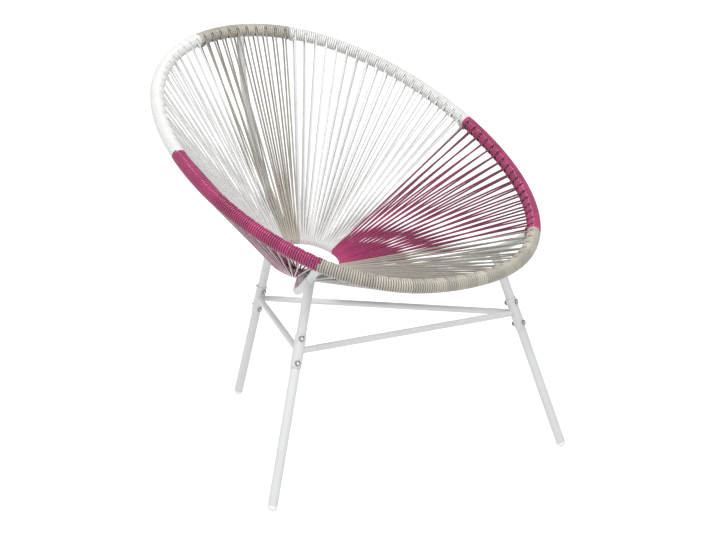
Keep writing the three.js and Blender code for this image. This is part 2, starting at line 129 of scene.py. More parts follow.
def sweep(path: Array, side: Array, high: Array | float, wide: Array | float, sides: int,
          closed: bool = False) -> Array:
    """Carries an oval section along paths.

    With T the path's direction, B the side vector made square to T, and N = B x T, the point at angle a is
    path + high cos(a) N + wide sin(a) B.

    Args:
        path: Stations of one or more paths, shaped (..., stations, 3).
        side: The way that the section's width points, in a shape that broadcasts to the path's.
        high: Half height of the section at each station.
        wide: Half width of the section at each station.
        sides: Points round the section.
        closed: Whether the last station meets the first.

    Returns:
        Points shaped (..., stations, sides, 3), in an order that faces outwards.
    """
    steps = np.roll(path, -1, -2) - np.roll(path, 1, -2) if closed else np.gradient(path, axis=-2)
    direction = unit(steps)
    across = square_to(np.broadcast_to(side, path.shape), direction)
    normal = np.cross(across, direction)
    angle = around(sides)
    tall = np.broadcast_to(high, path.shape[:-1])[..., None, None] * np.cos(angle)[:, None]
    broad = np.broadcast_to(wide, path.shape[:-1])[..., None, None] * np.sin(angle)[:, None]
    return path[..., None, :] + tall * normal[..., None, :] + broad * across[..., None, :]


def revolve(profile: Array, base: Array, axis: Array, aim: Array, sides: int) -> Array:
    """Turns a profile of radii and heights round an axis.

    The point at angle a is base + height axis + radius (cos(a) U + sin(a) V), with U the aim made square to
    the axis and V = axis x U.

    Args:
        profile: Radii and heights, shaped (rows, 2), or ones that also change round the axis, shaped
            (rows, sides, 2).
        base: Where height 0 lies.
        axis: Unit vector along which heights grow.
        aim: The way that angle 0 points.
        sides: Points round the axis.

    Returns:
        Points shaped (rows, sides, 3), facing outwards where heights grow.
    """
    first = square_to(aim, axis)
    second = np.cross(axis, first)
    angle = around(sides)
    if profile.ndim == 2:
        profile = np.repeat(profile[:, None, :], sides, axis=1)
    ring = np.cos(angle)[:, None] * first + np.sin(angle)[:, None] * second
    return base + profile[..., 1:] * axis + profile[..., :1] * ring


def soften(corners: Array, bevel: float) -> Array:
    """Replaces each corner of a closed profile by three points on a small round.

    The points are corner + c (before - corner) + c (after - corner) for a quadratic curve through the two
    points that lie a bevel away from the corner.

    Args:
        corners: Points of the profile, shaped (corners, 2).
        bevel: Distance from the corner to where the round starts.

    Returns:
        The profile with its corners rounded, shaped (3 * corners, 2).
    """
    before = np.roll(corners, 1, 0) - corners
    after = np.roll(corners, -1, 0) - corners
    lengths = [np.linalg.norm(v, axis=1, keepdims=True) for v in (before, after)]
    before *= np.minimum(bevel, lengths[0] / 2) / lengths[0]
    after *= np.minimum(bevel, lengths[1] / 2) / lengths[1]
    return np.stack([corners + before, corners + (before + after) / 4, corners + after], 1).reshape(-1, 2)


# Objects


def put(name: str, data: bpy.types.ID) -> bpy.types.Object:
    """Puts a new object into the scene, at the origin.

    Args:
        name: Its name.
        data: Its mesh, lamp or camera.

    Returns:
        The object.
    """
    obj = bpy.data.objects.new(name, data)
    bpy.context.scene.collection.objects.link(obj)
    return obj


def turn_to(obj: bpy.types.Object, right: Array, up: Array, back: Array, place: Triple) -> None:
    """Turns and places an object.

    Args:
        obj: The object.
        right: Unit vector for its own x.
        up: Unit vector for its own y.
        back: Unit vector for its own z.
        place: Where its origin goes.
    """
    matrix = np.eye(4)
    matrix[:3, :4] = np.stack([right, up, back, np.array(place)], 1)
    obj.matrix_world = Matrix(matrix.tolist())


@dataclass(frozen=True)
class Finish:
    """A material and its slot in the record."""

    material: bpy.types.Material
    slot: str


class Shell:
    """Closed surfaces gathered for one object, with a UV map and a tint for each point.

    The map's first value goes once round the section and its second counts metres along the path.
    """

    def __init__(self) -> None:
        """Starts with nothing in it."""
        self.points: list[Array] = []
        self.tints: list[Array] = []
        self.corners: list[Array] = []
        self.sizes: list[Array] = []
        self.maps: list[Array] = []
        self.count = 0

    def add(self, grids: Array, tint: Array | float = 0.0, closed: bool = False) -> "Shell":
        """Adds surfaces that are closed round each row, and capped at both ends unless closed along.

        A face joins points (i, j), (i, j + 1), (i + 1, j + 1) and (i + 1, j).

        Args:
            grids: Points shaped (rows, columns, 3) or (surfaces, rows, columns, 3).
            tint: A shade for all surfaces, for each one, for each of their rows, or for each point.
            closed: Whether the last row meets the first.

        Returns:
            This shell, so that calls can be chained.
        """
        grids = grids if grids.ndim == 4 else grids[None]
        many, rows, columns, _ = grids.shape
        index = self.count + np.arange(many * rows * columns).reshape(many, rows, columns)
        middle = grids.mean(axis=2)
        steps = np.linalg.norm(np.roll(middle, -1, 1) - middle, axis=-1)
        along = np.concatenate([np.zeros((many, 1)), np.cumsum(steps, axis=1)], axis=1)
        here = index if closed else index[:, :-1]
        ahead = np.roll(index, -1, 1) if closed else index[:, 1:]
        span = here.shape[1]
        faces = np.stack([here, np.roll(here, -1, 2), np.roll(ahead, -1, 2), ahead], -1)
        turn = np.arange(columns) / columns
        near, far = along[:, :span, None], along[:, 1:span + 1, None]
        pairs = [(turn, near), (turn + 1 / columns, near), (turn + 1 / columns, far), (turn, far)]
        shape = (many, span, columns)
        flat = [np.stack([np.broadcast_to(u, shape), np.broadcast_to(v, shape)], -1) for u, v in pairs]
        shades = np.asarray(tint, float)
        shades = shades.reshape(shades.shape + (1,) * (3 - shades.ndim))
        self.points.append(grids.reshape(-1, 3))
        self.tints.append(np.broadcast_to(shades, (many, rows, columns)).reshape(-1))
        self.corners.append(faces.reshape(-1))
        self.sizes.append(np.full(faces.size // 4, 4))
        self.maps.append(np.stack(flat, 3).reshape(-1, 2))
        if not closed:
            caps = np.concatenate([index[:, 0, ::-1], index[:, -1]])
            self.corners.append(caps.reshape(-1))
            self.sizes.append(np.full(2 * many, columns))
            self.maps.append(np.zeros((caps.size, 2)))
        self.count += many * rows * columns
        return self

    def piece(self, name: str, finish: Finish, *nodes: str) -> None:
        """Makes the gathered surfaces one object that rides with the chair.

        Args:
            name: Name of the new object.
            finish: The finish, whose material it takes.
            nodes: The CAD nodes that it stands for.
        """
        material, slot = finish.material, finish.slot
        corners, sizes = np.concatenate(self.corners), np.concatenate(self.sizes)
        starts = np.concatenate([[0], np.cumsum(sizes)[:-1]])
        mesh = bpy.data.meshes.new(name)
        mesh.vertices.add(self.count)
        mesh.vertices.foreach_set("co", np.concatenate(self.points).astype(np.float32).ravel())
        mesh.loops.add(len(corners))
        mesh.loops.foreach_set("vertex_index", corners.astype(np.int32))
        mesh.polygons.add(len(sizes))
        mesh.polygons.foreach_set("loop_start", starts.astype(np.int32))
        mesh.polygons.foreach_set("use_smooth", sizes == 4)
        mesh.update(calc_edges=True)
        layer = mesh.uv_layers.new(name="along")
        layer.uv.foreach_set("vector", np.concatenate(self.maps).astype(np.float32).ravel())
        shade = mesh.attributes.new("tint", "FLOAT", "POINT")
        shade.data.foreach_set("value", np.concatenate(self.tints).astype(np.float32))
        mesh.materials.append(material)
        obj = put(name, mesh)
        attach(obj, "root")
        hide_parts(*nodes)
        log.info("%s: %d faces, for %s", name, len(sizes), ", ".join(nodes))


# Shader nodes


@dataclass(frozen=True)
class Signal:
    """A shader socket that can be used in plain arithmetic."""

    sheet: "NodeSheet"
    socket: bpy.types.NodeSocket

    def _math(self, operation: str, first: "Signal | float", second: "Signal | float") -> "Signal":
        """One Math node on two values."""
        return self.sheet.node("ShaderNodeMath", {"operation": operation}, {0: first, 1: second})

    def __add__(self, other: "Signal | float") -> "Signal":
        """This value plus another."""
        return self._math("ADD", self, other)

    def __sub__(self, other: "Signal | float") -> "Signal":
        """This value less another."""
        return self._math("SUBTRACT", self, other)

    def __rsub__(self, other: float) -> "Signal":
        """A number less this value."""
        return self._math("SUBTRACT", other, self)

    def __mul__(self, other: "Signal | float") -> "Signal":
        """This value times another."""
        return self._math("MULTIPLY", self, other)

    __radd__ = __add__
    __rmul__ = __mul__


@dataclass(frozen=True)
class Grain:
    """Noise of about 1 / scale metres, and the span of it that is stretched over 0 to 1."""

    scale: float
    detail: float
    span: Span | None = None
    rough: float = 0.5


class NodeSheet:
    """The node tree of one material or of the world, with its main shader."""

    def __init__(self, owner: bpy.types.Material | bpy.types.World, sockets: dict[str, object],
                 shader: str = "Principled BSDF") -> None:
        """Starts the tree.

        Args:
            owner: The new material or world.
            sockets: Values for the shader's own sockets.
            shader: Name of the shader's node.
        """
        owner.use_nodes = True
        self.owner = owner
        self.tree = owner.node_tree
        self.shader = self.tree.nodes[shader]
        for key, value in sockets.items():
            self.shader.inputs[key].default_value = value

    def node(self, kind: str, settings: dict[str, object] | None = None,
             inputs: dict[str | int, object] | None = None, output: str | int = 0) -> Signal:
        """Adds one node.

        Args:
            kind: The node's type.
            settings: Its own settings, set first.
            inputs: Values or signals for its sockets, by name or number.
            output: The socket that is wanted from it.

        Returns:
            The signal of that output.
        """
        made = self.tree.nodes.new(kind)
        for key, value in (settings or {}).items():
            setattr(made, key, value)
        for key, value in (inputs or {}).items():
            if isinstance(value, Signal):
                self.tree.links.new(value.socket, made.inputs[key])
            else:
                made.inputs[key].default_value = value
        return Signal(self, made.outputs[output])

    def feed(self, socket: str, signal: Signal) -> None:
        """Links a signal to one of the shader's sockets."""
        self.tree.links.new(signal.socket, self.shader.inputs[socket])

    def place(self) -> Signal:
        """Object coordinates."""
        return self.node("ShaderNodeTexCoord", output="Object")

    def tint(self) -> Signal:
        """The shade stored at the mesh's points."""
        return self.node("ShaderNodeAttribute", {"attribute_name": "tint"}, output="Fac")

    def grain(self, grain: Grain, where: Signal) -> Signal:
        """Noise, stretched over its span if it has one.

        Args:
            grain: Its scale, detail and span.
            where: The place to read it at.

        Returns:
            The noise's signal.
        """
        values = {"Vector": where, "Scale": grain.scale, "Detail": grain.detail, "Roughness": grain.rough}
        noise = self.node("ShaderNodeTexNoise", inputs=values)
        return self.spread(noise, *grain.span) if grain.span else noise

    def spread(self, value: Signal, low: float, high: float) -> Signal:
        """Stretches the span from low to high over 0 to 1, and clips it."""
        inputs = {"Value": value, "From Min": low, "From Max": high}
        return self.node("ShaderNodeMapRange", {"clamp": True}, inputs)

    def blend(self, share: Signal, first: Signal | Triple, second: Signal | Triple) -> Signal:
        """A colour between two, by a share."""
        start, end = (end if isinstance(end, Signal) else (*end, 1.0) for end in (first, second))
        return self.node("ShaderNodeMix", {"data_type": "RGBA"}, {0: share, 6: start, 7: end}, 2)

    def finish(self, colour: Signal, gloss: Signal, relief: Signal, depth: float) -> bpy.types.Material:
        """Feeds the shader.

        Args:
            colour: The base colour.
            gloss: The roughness.
            relief: A height map from 0 to 1.
            depth: The relief's depth.

        Returns:
            The finished material.
        """
        bump = self.node("ShaderNodeBump", inputs={"Height": relief, "Distance": depth})
        for socket, signal in (("Base Color", colour), ("Roughness", gloss), ("Normal", bump)):
            self.feed(socket, signal)
        return self.owner


# Finishes


@dataclass(frozen=True)
class PowderCoat:
    """White powder coat: satin, with a fine orange peel and a little dust."""

    colour: Triple = (0.63, 0.64, 0.64)
    dusty: Triple = (0.57, 0.57, 0.555)
    dust: Grain = Grain(14.0, 4.0, (0.45, 0.8))
    speck: Grain = Grain(900.0, 2.0, (0.66, 0.78))
    peel: Grain = Grain(650.0, 2.0, rough=0.4)
    dust_share: float = 0.45
    speck_share: float = 0.3
    roughness: float = 0.36
    dust_roughness: float = 0.1
    peel_roughness: float = 0.06
    depth: float = 0.00006

    def material(self) -> bpy.types.Material:
        """Builds the node tree.

        Returns:
            The finished material.
        """
        sheet = NodeSheet(bpy.data.materials.new("white_coat"), {"IOR": 1.5})
        where = sheet.place()
        dust, speck, peel = (sheet.grain(grain, where) for grain in (self.dust, self.speck, self.peel))
        share = dust * self.dust_share + speck * self.speck_share
        gloss = self.roughness + dust * self.dust_roughness + peel * self.peel_roughness
        return sheet.finish(sheet.blend(share, self.colour, self.dusty), gloss, peel, self.depth)


@dataclass(frozen=True)
class VinylCord:
    """Glossy vinyl cord, with faint drawing lines along it.

    The mesh's tint takes it from its colour to a darker one, for random tone and for painted shade. The
    lines are noise on the piece's own map, finer round the cord than along it.
    """

    name: str
    colour: Triple
    deep_tone_and_shade: Triple
    line_scale: Triple = (9.0, 60.0, 1.0)
    lines: Grain = Grain(1.0, 2.0)
    cloud: Grain = Grain(40.0, 3.0)
    scuff: Grain = Grain(420.0, 3.0, (0.62, 0.76))
    cloud_shade: float = 0.4
    line_shade: float = 0.2
    roughness: float = 0.2
    scuff_roughness: float = 0.16
    line_roughness: float = 0.1
    line_relief: float = 0.7
    cloud_relief: float = 0.3
    depth: float = 0.00004

    def material(self) -> bpy.types.Material:
        """Builds the node tree.

        Returns:
            The finished material.
        """
        sheet = NodeSheet(bpy.data.materials.new(self.name), {"IOR": 1.52})
        where = sheet.place()
        along = sheet.node("ShaderNodeTexCoord", output="UV")
        drawn = sheet.node("ShaderNodeMapping", inputs={"Vector": along, "Scale": self.line_scale})
        lines = sheet.grain(self.lines, drawn)
        cloud, scuff = (sheet.grain(grain, where) for grain in (self.cloud, self.scuff))
        # The tint carries random tone and painted shade; the colour leans from its own to the darker one.
        share = sheet.tint() + (cloud - 0.5) * self.cloud_shade + (lines - 0.5) * self.line_shade
        colour = sheet.blend(sheet.spread(share, 0.0, 1.0), self.colour, self.deep_tone_and_shade)
        gloss = self.roughness + scuff * self.scuff_roughness + (lines - 0.5) * self.line_roughness
        return sheet.finish(colour, gloss, lines * self.line_relief + cloud * self.cloud_relief, self.depth)


@dataclass(frozen=True)
class ZincPlate:
    """Dull zinc plate with a cloudy gloss, and a painted highlight of pale, bright zinc in the bolt's recess.
    """

    wear_and_highlight: Triple = (0.9, 0.9, 0.88)
    colour: Triple = (0.34, 0.34, 0.34)
    dull: Triple = (0.22, 0.22, 0.21)
    cloud: Grain = Grain(260.0, 4.0)
    dull_span: Span = (0.4, 0.7)
    grain: Grain = Grain(2400.0, 2.0)
    roughness: float = 0.26
    cloud_roughness: float = 0.2
    grain_roughness: float = 0.08
    highlight_roughness: float = 0.25
    depth: float = 0.00003

    def material(self) -> bpy.types.Material:
        """Builds the node tree.

        Returns:
            The finished material.
        """
        sheet = NodeSheet(bpy.data.materials.new("zinc_plate"), {"Metallic": 1.0})
        where = sheet.place()
        cloud = sheet.grain(self.cloud, where)
        grain = sheet.grain(self.grain, where)
        tint = sheet.tint()
        # The tint is 1 in the bolt's recess, where pale bright zinc is a painted highlight.
        plate = sheet.blend(sheet.spread(cloud, *self.dull_span), self.colour, self.dull)
        gloss = self.roughness + cloud * self.cloud_roughness + grain * self.grain_roughness
        gloss = gloss + tint * self.highlight_roughness
        return sheet.finish(sheet.blend(tint, plate, self.wear_and_highlight), gloss, grain, self.depth)


@dataclass(frozen=True)
class MattePlastic:
    """Matte white plastic, worn grey where it stands on the floor."""

    colour: Triple = (0.8, 0.8, 0.78)
    wear_and_highlight: Triple = (0.45, 0.44, 0.42)
    rub_height: float = 0.003
    rub_share: float = 0.8
    grain: Grain = Grain(1500.0, 3.0)
    ragged: float = 0.001
    roughness: float = 0.58
    grain_roughness: float = 0.12
    depth: float = 0.00006

    def material(self) -> bpy.types.Material:
        """Builds the node tree.

        Returns:
            The finished material.
        """
        sheet = NodeSheet(bpy.data.materials.new("matte_plug"), {"IOR": 1.49})
        where = sheet.place()
        height = sheet.node("ShaderNodeSeparateXYZ", inputs={"Vector": where}, output="Z")
        grain = sheet.grain(self.grain, where)
        rub = 1.0 - sheet.spread(height + grain * self.ragged, 0.0, self.rub_height)
        colour = sheet.blend(rub * self.rub_share, self.colour, self.wear_and_highlight)
        return sheet.finish(colour, self.roughness + grain * self.grain_roughness, grain, self.depth)


@dataclass(frozen=True)
class StudioFloor:
    """A plain pale floor that glows like a light table, so that it stays white under soft light."""

    colour: Triple = (0.3, 0.3, 0.3)
    cloud: Grain = Grain(1.5, 2.0)
    cloudy: float = 0.985
    roughness: float = 0.9
    glow: float = 0.93

    def material(self) -> bpy.types.Material:
        """Builds the node tree.

        Returns:
            The finished material.
        """
        glow = {"Emission Color": (1.0, 1.0, 1.0, 1.0), "Emission Strength": self.glow}
        sheet = NodeSheet(bpy.data.materials.new("studio_floor"), {"Roughness": self.roughness, **glow})
        darker = tuple(self.cloudy * value for value in self.colour)
        sheet.feed("Base Color", sheet.blend(sheet.grain(self.cloud, sheet.place()), self.colour, darker))
        return sheet.owner


class Colour(Enum):
    """The cord colours, by their slot in the record."""

    WHITE = "cord_white"
    MAGENTA = "cord_magenta"
    TAUPE = "cord_taupe"


# Each cord's own colour, and the darker one that its tint leads to, for random tone and painted shade.
CORD_SHADES = {
    Colour.WHITE: ((0.71, 0.71, 0.7), (0.65, 0.65, 0.64)),
    Colour.MAGENTA: ((0.44, 0.043, 0.16), (0.11, 0.014, 0.044)),
    Colour.TAUPE: ((0.485, 0.45, 0.388), (0.235, 0.223, 0.192)),
}


class Finishes:
    """Every finish of the chair, made once."""

    def __init__(self) -> None:
        """Makes the materials."""
        self.coat = Finish(PowderCoat().material(), "coat")
        self.zinc = Finish(ZincPlate().material(), "plated")
        self.plug = Finish(MattePlastic().material(), "plug")
        self.floor = StudioFloor().material()
        self.cords = {colour: Finish(VinylCord(colour.value, light, deep_tone_and_shade).material(), colour.value)
                      for colour, (light, deep_tone_and_shade) in CORD_SHADES.items()}


# Layout of the hoop, the ring and the cords


@dataclass(frozen=True)
class Frames:
    """Places on a tube: "across" points from the hoop to the ring, and "up" at the sitter."""

    at: Array
    along: Array
    across: Array
    up: Array

    def point(self, radius: Array | float, angle: Array | float) -> Array:
        """at + radius (cos(angle) across + sin(angle) up)."""
        radius, angle = np.asarray(radius)[..., None], np.asarray(angle)[..., None]
        return self.at + radius * (np.cos(angle) * self.across + np.sin(angle) * self.up)


@dataclass(frozen=True)
class Hoop:
    """The bent tube round the seat.

    At angle t from the front each coordinate is a half size times a short sum of cosines or sines of t, 2 t
    and 3 t.
    """

    radius: float = 0.0095
    half_width: float = 0.343
    half_depth: float = 0.429
    half_rise: float = 0.216
    middle_y: float = -0.038
    middle_z: float = 0.613
    width_shares: Triple = (1.0, -0.058, -0.04)
    depth_shares: Triple = (1.0, -0.054, -0.064)
    rise_shares: Triple = (1.0, -0.073, -0.045)

    def at(self, t: Array) -> Array:
        """The tube's middle line.

        Args:
            t: Angles from the front.

        Returns:
            Points there.
        """
        waves = np.arange(1, 4) * np.asarray(t, float)[..., None]
        x = self.half_width * (np.sin(waves) @ np.array(self.width_shares))
        y = self.middle_y - self.half_depth * (np.cos(waves) @ np.array(self.depth_shares))
        z = self.middle_z - self.half_rise * (np.cos(waves) @ np.array(self.rise_shares))
        return np.stack([x, y, z], -1)


@dataclass(frozen=True)
class Ring:
    """The small ring at the bottom of the seat, tilted so that its front is lower."""

    tube: float = 0.007
    radius: float = 0.079
    middle_y: float = 0.121
    middle_z: float = 0.375
    tilt: float = math.radians(19)

    def at(self, a: Array) -> Array:
        """The tube's middle line, a circle.

        Args:
            a: Angles from the front.

        Returns:
            Points there.
        """
        back = -self.radius * np.cos(a)
        y = self.middle_y + back * math.cos(self.tilt)
        z = self.middle_z + back * math.sin(self.tilt)
        return np.stack([self.radius * np.sin(a), y, z], -1)


@dataclass(frozen=True)
class Section:
    """A run of one colour from the front middle towards the back middle, alike on both sides."""

    name: str
    colour: Colour
    end_share: float
    loops: int
    slices: int


@dataclass(frozen=True)
class CordPlan:
    """Where every loop of cord lies on the hoop and on the ring.

    The step sizes are for differences: an angle for directions, and loops for the pitch.
    """

    hoop: Hoop = Hoop()
    ring: Ring = Ring()
    diameter: float = 0.005
    stretched: float = 0.0038
    corridor: float = 0.01
    turns: int = 5
    arc_samples: int = 2001
    angle_step: float = 0.001
    pitch_step: float = 0.01
    sections: tuple[Section, ...] = (
        Section("front_taupe", Colour.TAUPE, 0.223, 12, 2),
        Section("magenta", Colour.MAGENTA, 0.543, 17, 3),
        Section("white", Colour.WHITE, 0.909, 19, 3),
        Section("back_taupe", Colour.TAUPE, 1.0, 5, 1),
    )

    @property
    def borders(self) -> list[int]:
        """Loops at the ends of the sections, from the front middle."""
        return [0, *np.cumsum([section.loops for section in self.sections]).tolist()]

    @property
    def half(self) -> int:
        """Loops on one side of the chair."""
        return self.borders[-1]

    @property
    def wrap(self) -> float:
        """Angle round the hoop that one loop takes."""
        return self.turns * TURN

    @property
    def loop_turn(self) -> float:
        """Angle on the ring that one loop takes."""
        return math.pi / self.half

    def hoop_angle(self, loops: Array) -> Array:
        """Spaces loops evenly along the hoop within each section.

        Args:
            loops: Places in loops.

        Returns:
            Their angles on the hoop.
        """
        near = np.where(np.asarray(loops, float) > self.half, loops - 2.0 * self.half, loops)
        t = np.linspace(0.0, math.pi, self.arc_samples)
        steps = np.linalg.norm(np.diff(self.hoop.at(t), axis=0), axis=1)
        arc = np.concatenate([[0.0], np.cumsum(steps)])
        ends = np.array([0.0, *(section.end_share for section in self.sections)]) * arc[-1]
        distance = np.interp(np.abs(near), self.borders, ends)
        return np.sign(near) * np.interp(distance, arc, t)

    def pitch(self, loops: float) -> float:
        """Length of hoop that one loop takes at a place."""
        ends = self.hoop.at(self.hoop_angle(np.array([loops - self.pitch_step, loops + self.pitch_step])))
        return float(np.linalg.norm(ends[1] - ends[0])) / (2 * self.pitch_step)

    def chord(self, loops: Array) -> Array:
        """Vectors from the hoop to the ring at places in loops."""
        return self.ring.at(loops * self.loop_turn) - self.hoop.at(self.hoop_angle(loops))

    def on_hoop(self, loops: Array) -> Frames:
        """Frames on the hoop.

        Args:
            loops: Places in loops.

        Returns:
            The frames there.
        """
        t, step = self.hoop_angle(loops), self.angle_step
        along = unit(self.hoop.at(t + step) - self.hoop.at(t - step))
        across = square_to(self.chord(loops), along)
        return Frames(self.hoop.at(t), along, across, np.cross(along, across))

    def on_ring(self, loops: Array) -> Frames:
        """Frames on the ring, slanted along the cords that come in there.

        Args:
            loops: Places in loops.

        Returns:
            The frames there.
        """
        a, step = loops * self.loop_turn, self.angle_step
        along = unit(self.ring.at(a + step) - self.ring.at(a - step))
        chord = self.chord(loops)
        across = square_to(chord, along)
        slanted = chord / dot(chord, across)
        return Frames(self.ring.at(a), along, slanted, np.cross(along, across))

    def below_cords(self, loops: float, share: float, drop: float) -> Array:
        """The point at a share of the chord, dropped square to the cords: at + share chord - drop up."""
        frames = self.on_hoop(np.array(float(loops)))
        return frames.at + share * self.chord(np.array(float(loops))) - drop * frames.up

    def lower_place(self, loops: Array, first: int, last: int) -> Array:
        """Where lower cords meet the ring: they crowd together beside a strut, to leave it its corridor.

        A cord moves away from the strut by the crowding times its share of the way there.

        Args:
            loops: Places of the cords in loops.
            first: Loop border where their slice starts.
            last: Loop border where it ends.

        Returns:
            Their places on the ring, in loops.
        """
        crowding = self.corridor / (self.ring.radius * self.loop_turn) - 0.5
        steps = last - first - 1
        struts = (self.borders[1], self.half)
        if last in struts:
            return loops - crowding * (loops - first - 0.5) / steps
        if first in struts:
            return loops + crowding * (last - loops - 0.5) / steps
        return loops


# Cord work


@dataclass
class CordWork:
    """The windings on the hoop, the cords to the ring and the loops round it.

    Each loop of cord comes over the hoop from the ring, winds round it, leaves under it for the ring and goes
    round the ring through its hole, so a loop takes five turns of which one half turn is missing.

    Angles are in degrees round the hoop from the ring's side, and up at the sitter. A wound cord fills a
    little less than its diameter (tightness). The turns of a loop gather between opening and closing. A cord
    comes onto the hoop still stretched, which ends over the entry angles; stretched cord gets painted shade.
    Wound cord gets painted shade on its sides and underside, towards the groove between turns and the tube.
    Strand places count stations from the middle of the loop round the ring, which is ring_width wide, and
    strand tints belong to them: painted light on the loop round the ring, growing to painted shade towards
    the hoop.
    """

    plan: CordPlan
    finishes: Finishes
    sides: int = 8
    steps_per_turn: int = 20
    jitter: float = 0.00003
    tightness: float = 0.93
    border_inset: float = 0.03
    gather: float = 0.1
    white_gather: float = 0.04
    gather_thinning: float = 0.7
    opening: Span = (-25.0, 25.0)
    closing: Span = (90.0, 130.0)
    entry: Span = (92.0, 135.0)
    strut_spread: float = 0.0105
    strut_angles: Span = (34.0, 72.0)
    strut_loops: Span = (0.9, 1.6)
    tail_stations: int = 9
    tail_loops: Span = (0.06, 0.4)
    tail_climb: float = 0.4
    tail_rise: float = 0.85
    tail_angles: Span = (-30.0, 40.0)
    wound_tint: Span = (0.0, 0.5)
    # Painted shade on wound cord: its sides and underside, towards the groove between turns and the tube,
    # lean to the darker colour.
    groove_painted_shade: float = 0.95
    groove_shade_edge: float = 0.75
    # Painted shade on stretched cord: where it comes onto the hoop, on the tails and towards the hoop along
    # the strands.
    stretched_painted_shade: float = 0.95
    wander: float = 0.0004
    pull: float = 0.011
    curve_length: float = 0.03
    curve_stations: int = 6
    straight_shares: tuple[float, ...] = (0.12, 0.4, 0.7, 0.93)
    ring_stations: int = 11
    ring_width: float = 0.0045
    middle_width: float = 0.0041
    strand_places: tuple[int, ...] = (5, 7, 9)
    # Painted light on the loop round the ring, growing to painted shade along the strands towards the hoop.
    strand_light_and_shade: Triple = (0.0, 0.45, 0.8)
    tint_spread: float = 0.12

    def __post_init__(self) -> None:
        """Starts the seeded random numbers, and sets how far from each tube's middle a cord's is."""
        self.random = np.random.default_rng(41)
        self.radius = self.plan.hoop.radius + self.plan.diameter / 2
        self.ring_radius = self.plan.ring.tube + self.plan.diameter / 2

    @property
    def struts(self) -> list[tuple[float, float]]:
        """Where the struts leave the hoop.

        Returns:
            Their places in loops, and the angle round the hoop at which each leaves it.
        """
        places = [-self.plan.borders[1], self.plan.borders[1], self.plan.half]
        angles = []
        for place, name in zip(places, Strut):
            frames = self.plan.on_hoop(np.array(float(place)))
            path = STRUTS.path(name)
            way = path[STRUTS.samples // 4] - path[0]
            angles.append(math.atan2(float(way @ frames.up), float(way @ frames.across)))
        return list(zip(places, angles))

    @property
    def sunk(self) -> float:
        """How much closer to the tube a stretched cord lies than a wound one."""
        return (self.plan.diameter - self.plan.stretched) / 2

    def entering(self, phases: Array) -> Array:
        """1 where a loop's cord comes onto the tube, still stretched, falling to 0 soon after."""
        return 1.0 - ease(phases % self.plan.wrap, *np.radians(self.entry))

    def openness(self, phases: Array) -> Array:
        """How far the turns of a loop have drawn together.

        That is on the sitter's side of the tube only, and not where the cord comes from the ring or leaves
        for it.

        Args:
            phases: Angles round the tube from the ring's side, counted on through the loop.

        Returns:
            Shares from 0 to 1.
        """
        quarter, whole = TURN / 4, self.plan.wrap
        angle = (phases + quarter) % TURN - quarter
        place = phases % whole
        facing = ease(angle, *np.radians(self.opening)) * (1.0 - ease(angle, *np.radians(self.closing)))
        inner = ease(place, quarter, TURN) * (1.0 - ease(place, whole - TURN, whole - quarter))
        return facing * inner

    def cord_lines(self, stations: Array, phases: Array, gather: float) -> tuple[Array, Array]:
        """Helix turns beside cord stations.

        At phase p from a station the place in loops is station + p / (angle of a loop), drawn towards the
        loop's middle where the turns gather. Beside a strut the distance d from it grows to
        sqrt(d^2 + s^2), where s falls from the strut's half width to nothing round the tube.

        Args:
            stations: Places in loops, shaped (lines, 1).
            phases: Angles round the tube from the ring's side, shaped (points,).
            gather: How far the turns draw together, as a share of a loop.

        Returns:
            Points of the lines shaped (lines, points, 3), and the outward directions there.
        """
        share = phases / self.plan.wrap
        loops = stations + share + (0.5 - share % 1.0) * gather * self.openness(phases)
        for strut, angle in self.struts:
            near = loops - strut
            off = np.abs((phases - angle + math.pi) % TURN - math.pi)
            facing = 1.0 - ease(off, *np.radians(self.strut_angles))
            beside = 1.0 - ease(np.abs(near), *self.strut_loops)
            push = self.strut_spread / self.plan.pitch(strut) * facing * beside
            loops = strut + np.sign(near) * np.sqrt(near * near + push * push)
        frames = self.plan.on_hoop(loops)
        jitter = self.random.normal(0.0, self.jitter, loops.shape)
        smooth = (jitter + np.roll(jitter, 1, -1) + np.roll(jitter, -1, -1)) / 2
        sunk = self.sunk * self.entering(phases)
        points = frames.point(self.radius + smooth - sunk, np.broadcast_to(phases, loops.shape))
        return points, unit(points - frames.at)

    def tail(self, border: int, way: int) -> Array:
        """The cut end of a run, tucked out over its first turns on the ring's side of the tube.

        Its place moves away from the border and its angle grows, both evenly, and its height rises from the
        turns' middle line to lie on top of them.

        Args:
            border: Loop border where the run ends.
            way: 1 where the run follows the border, and -1 where it comes before.

        Returns:
            The cord's surface, shaped (stations, sides, 3).
        """
        share = np.linspace(0.0, 1.0, self.tail_stations)
        start, length = self.tail_loops
        frames = self.plan.on_hoop(border + way * (start + length * share))
        height = self.radius + self.tail_rise * self.plan.diameter * ease(share, 0.0, self.tail_climb)
        path = frames.point(height, np.radians(np.linspace(*self.tail_angles, self.tail_stations)))
        half = self.plan.stretched / 2
        return sweep(path, unit(path - frames.at), half, half, self.sides)

    def winding(self, node: str, colour: Colour, first: int, last: int) -> None:
        """Winds one colour on the hoop.

        Args:
            node: The CAD node that it stands for.
            colour: Colour of the cord.
            first: Loop border where it starts.
            last: Loop border where it ends.
        """
        stations = np.arange(first, last)[:, None] + 0.5
        whole, quarter, inset = self.plan.wrap, TURN / 4, self.border_inset * TURN
        spans = [(stations[:1], inset - whole / 2, -quarter), (stations[:-1], quarter, whole - quarter),
                 (stations[-1:], quarter, whole / 2 - inset)]
        shell = Shell()
        half = self.plan.diameter / 2
        gather = self.white_gather if colour is Colour.WHITE else self.gather
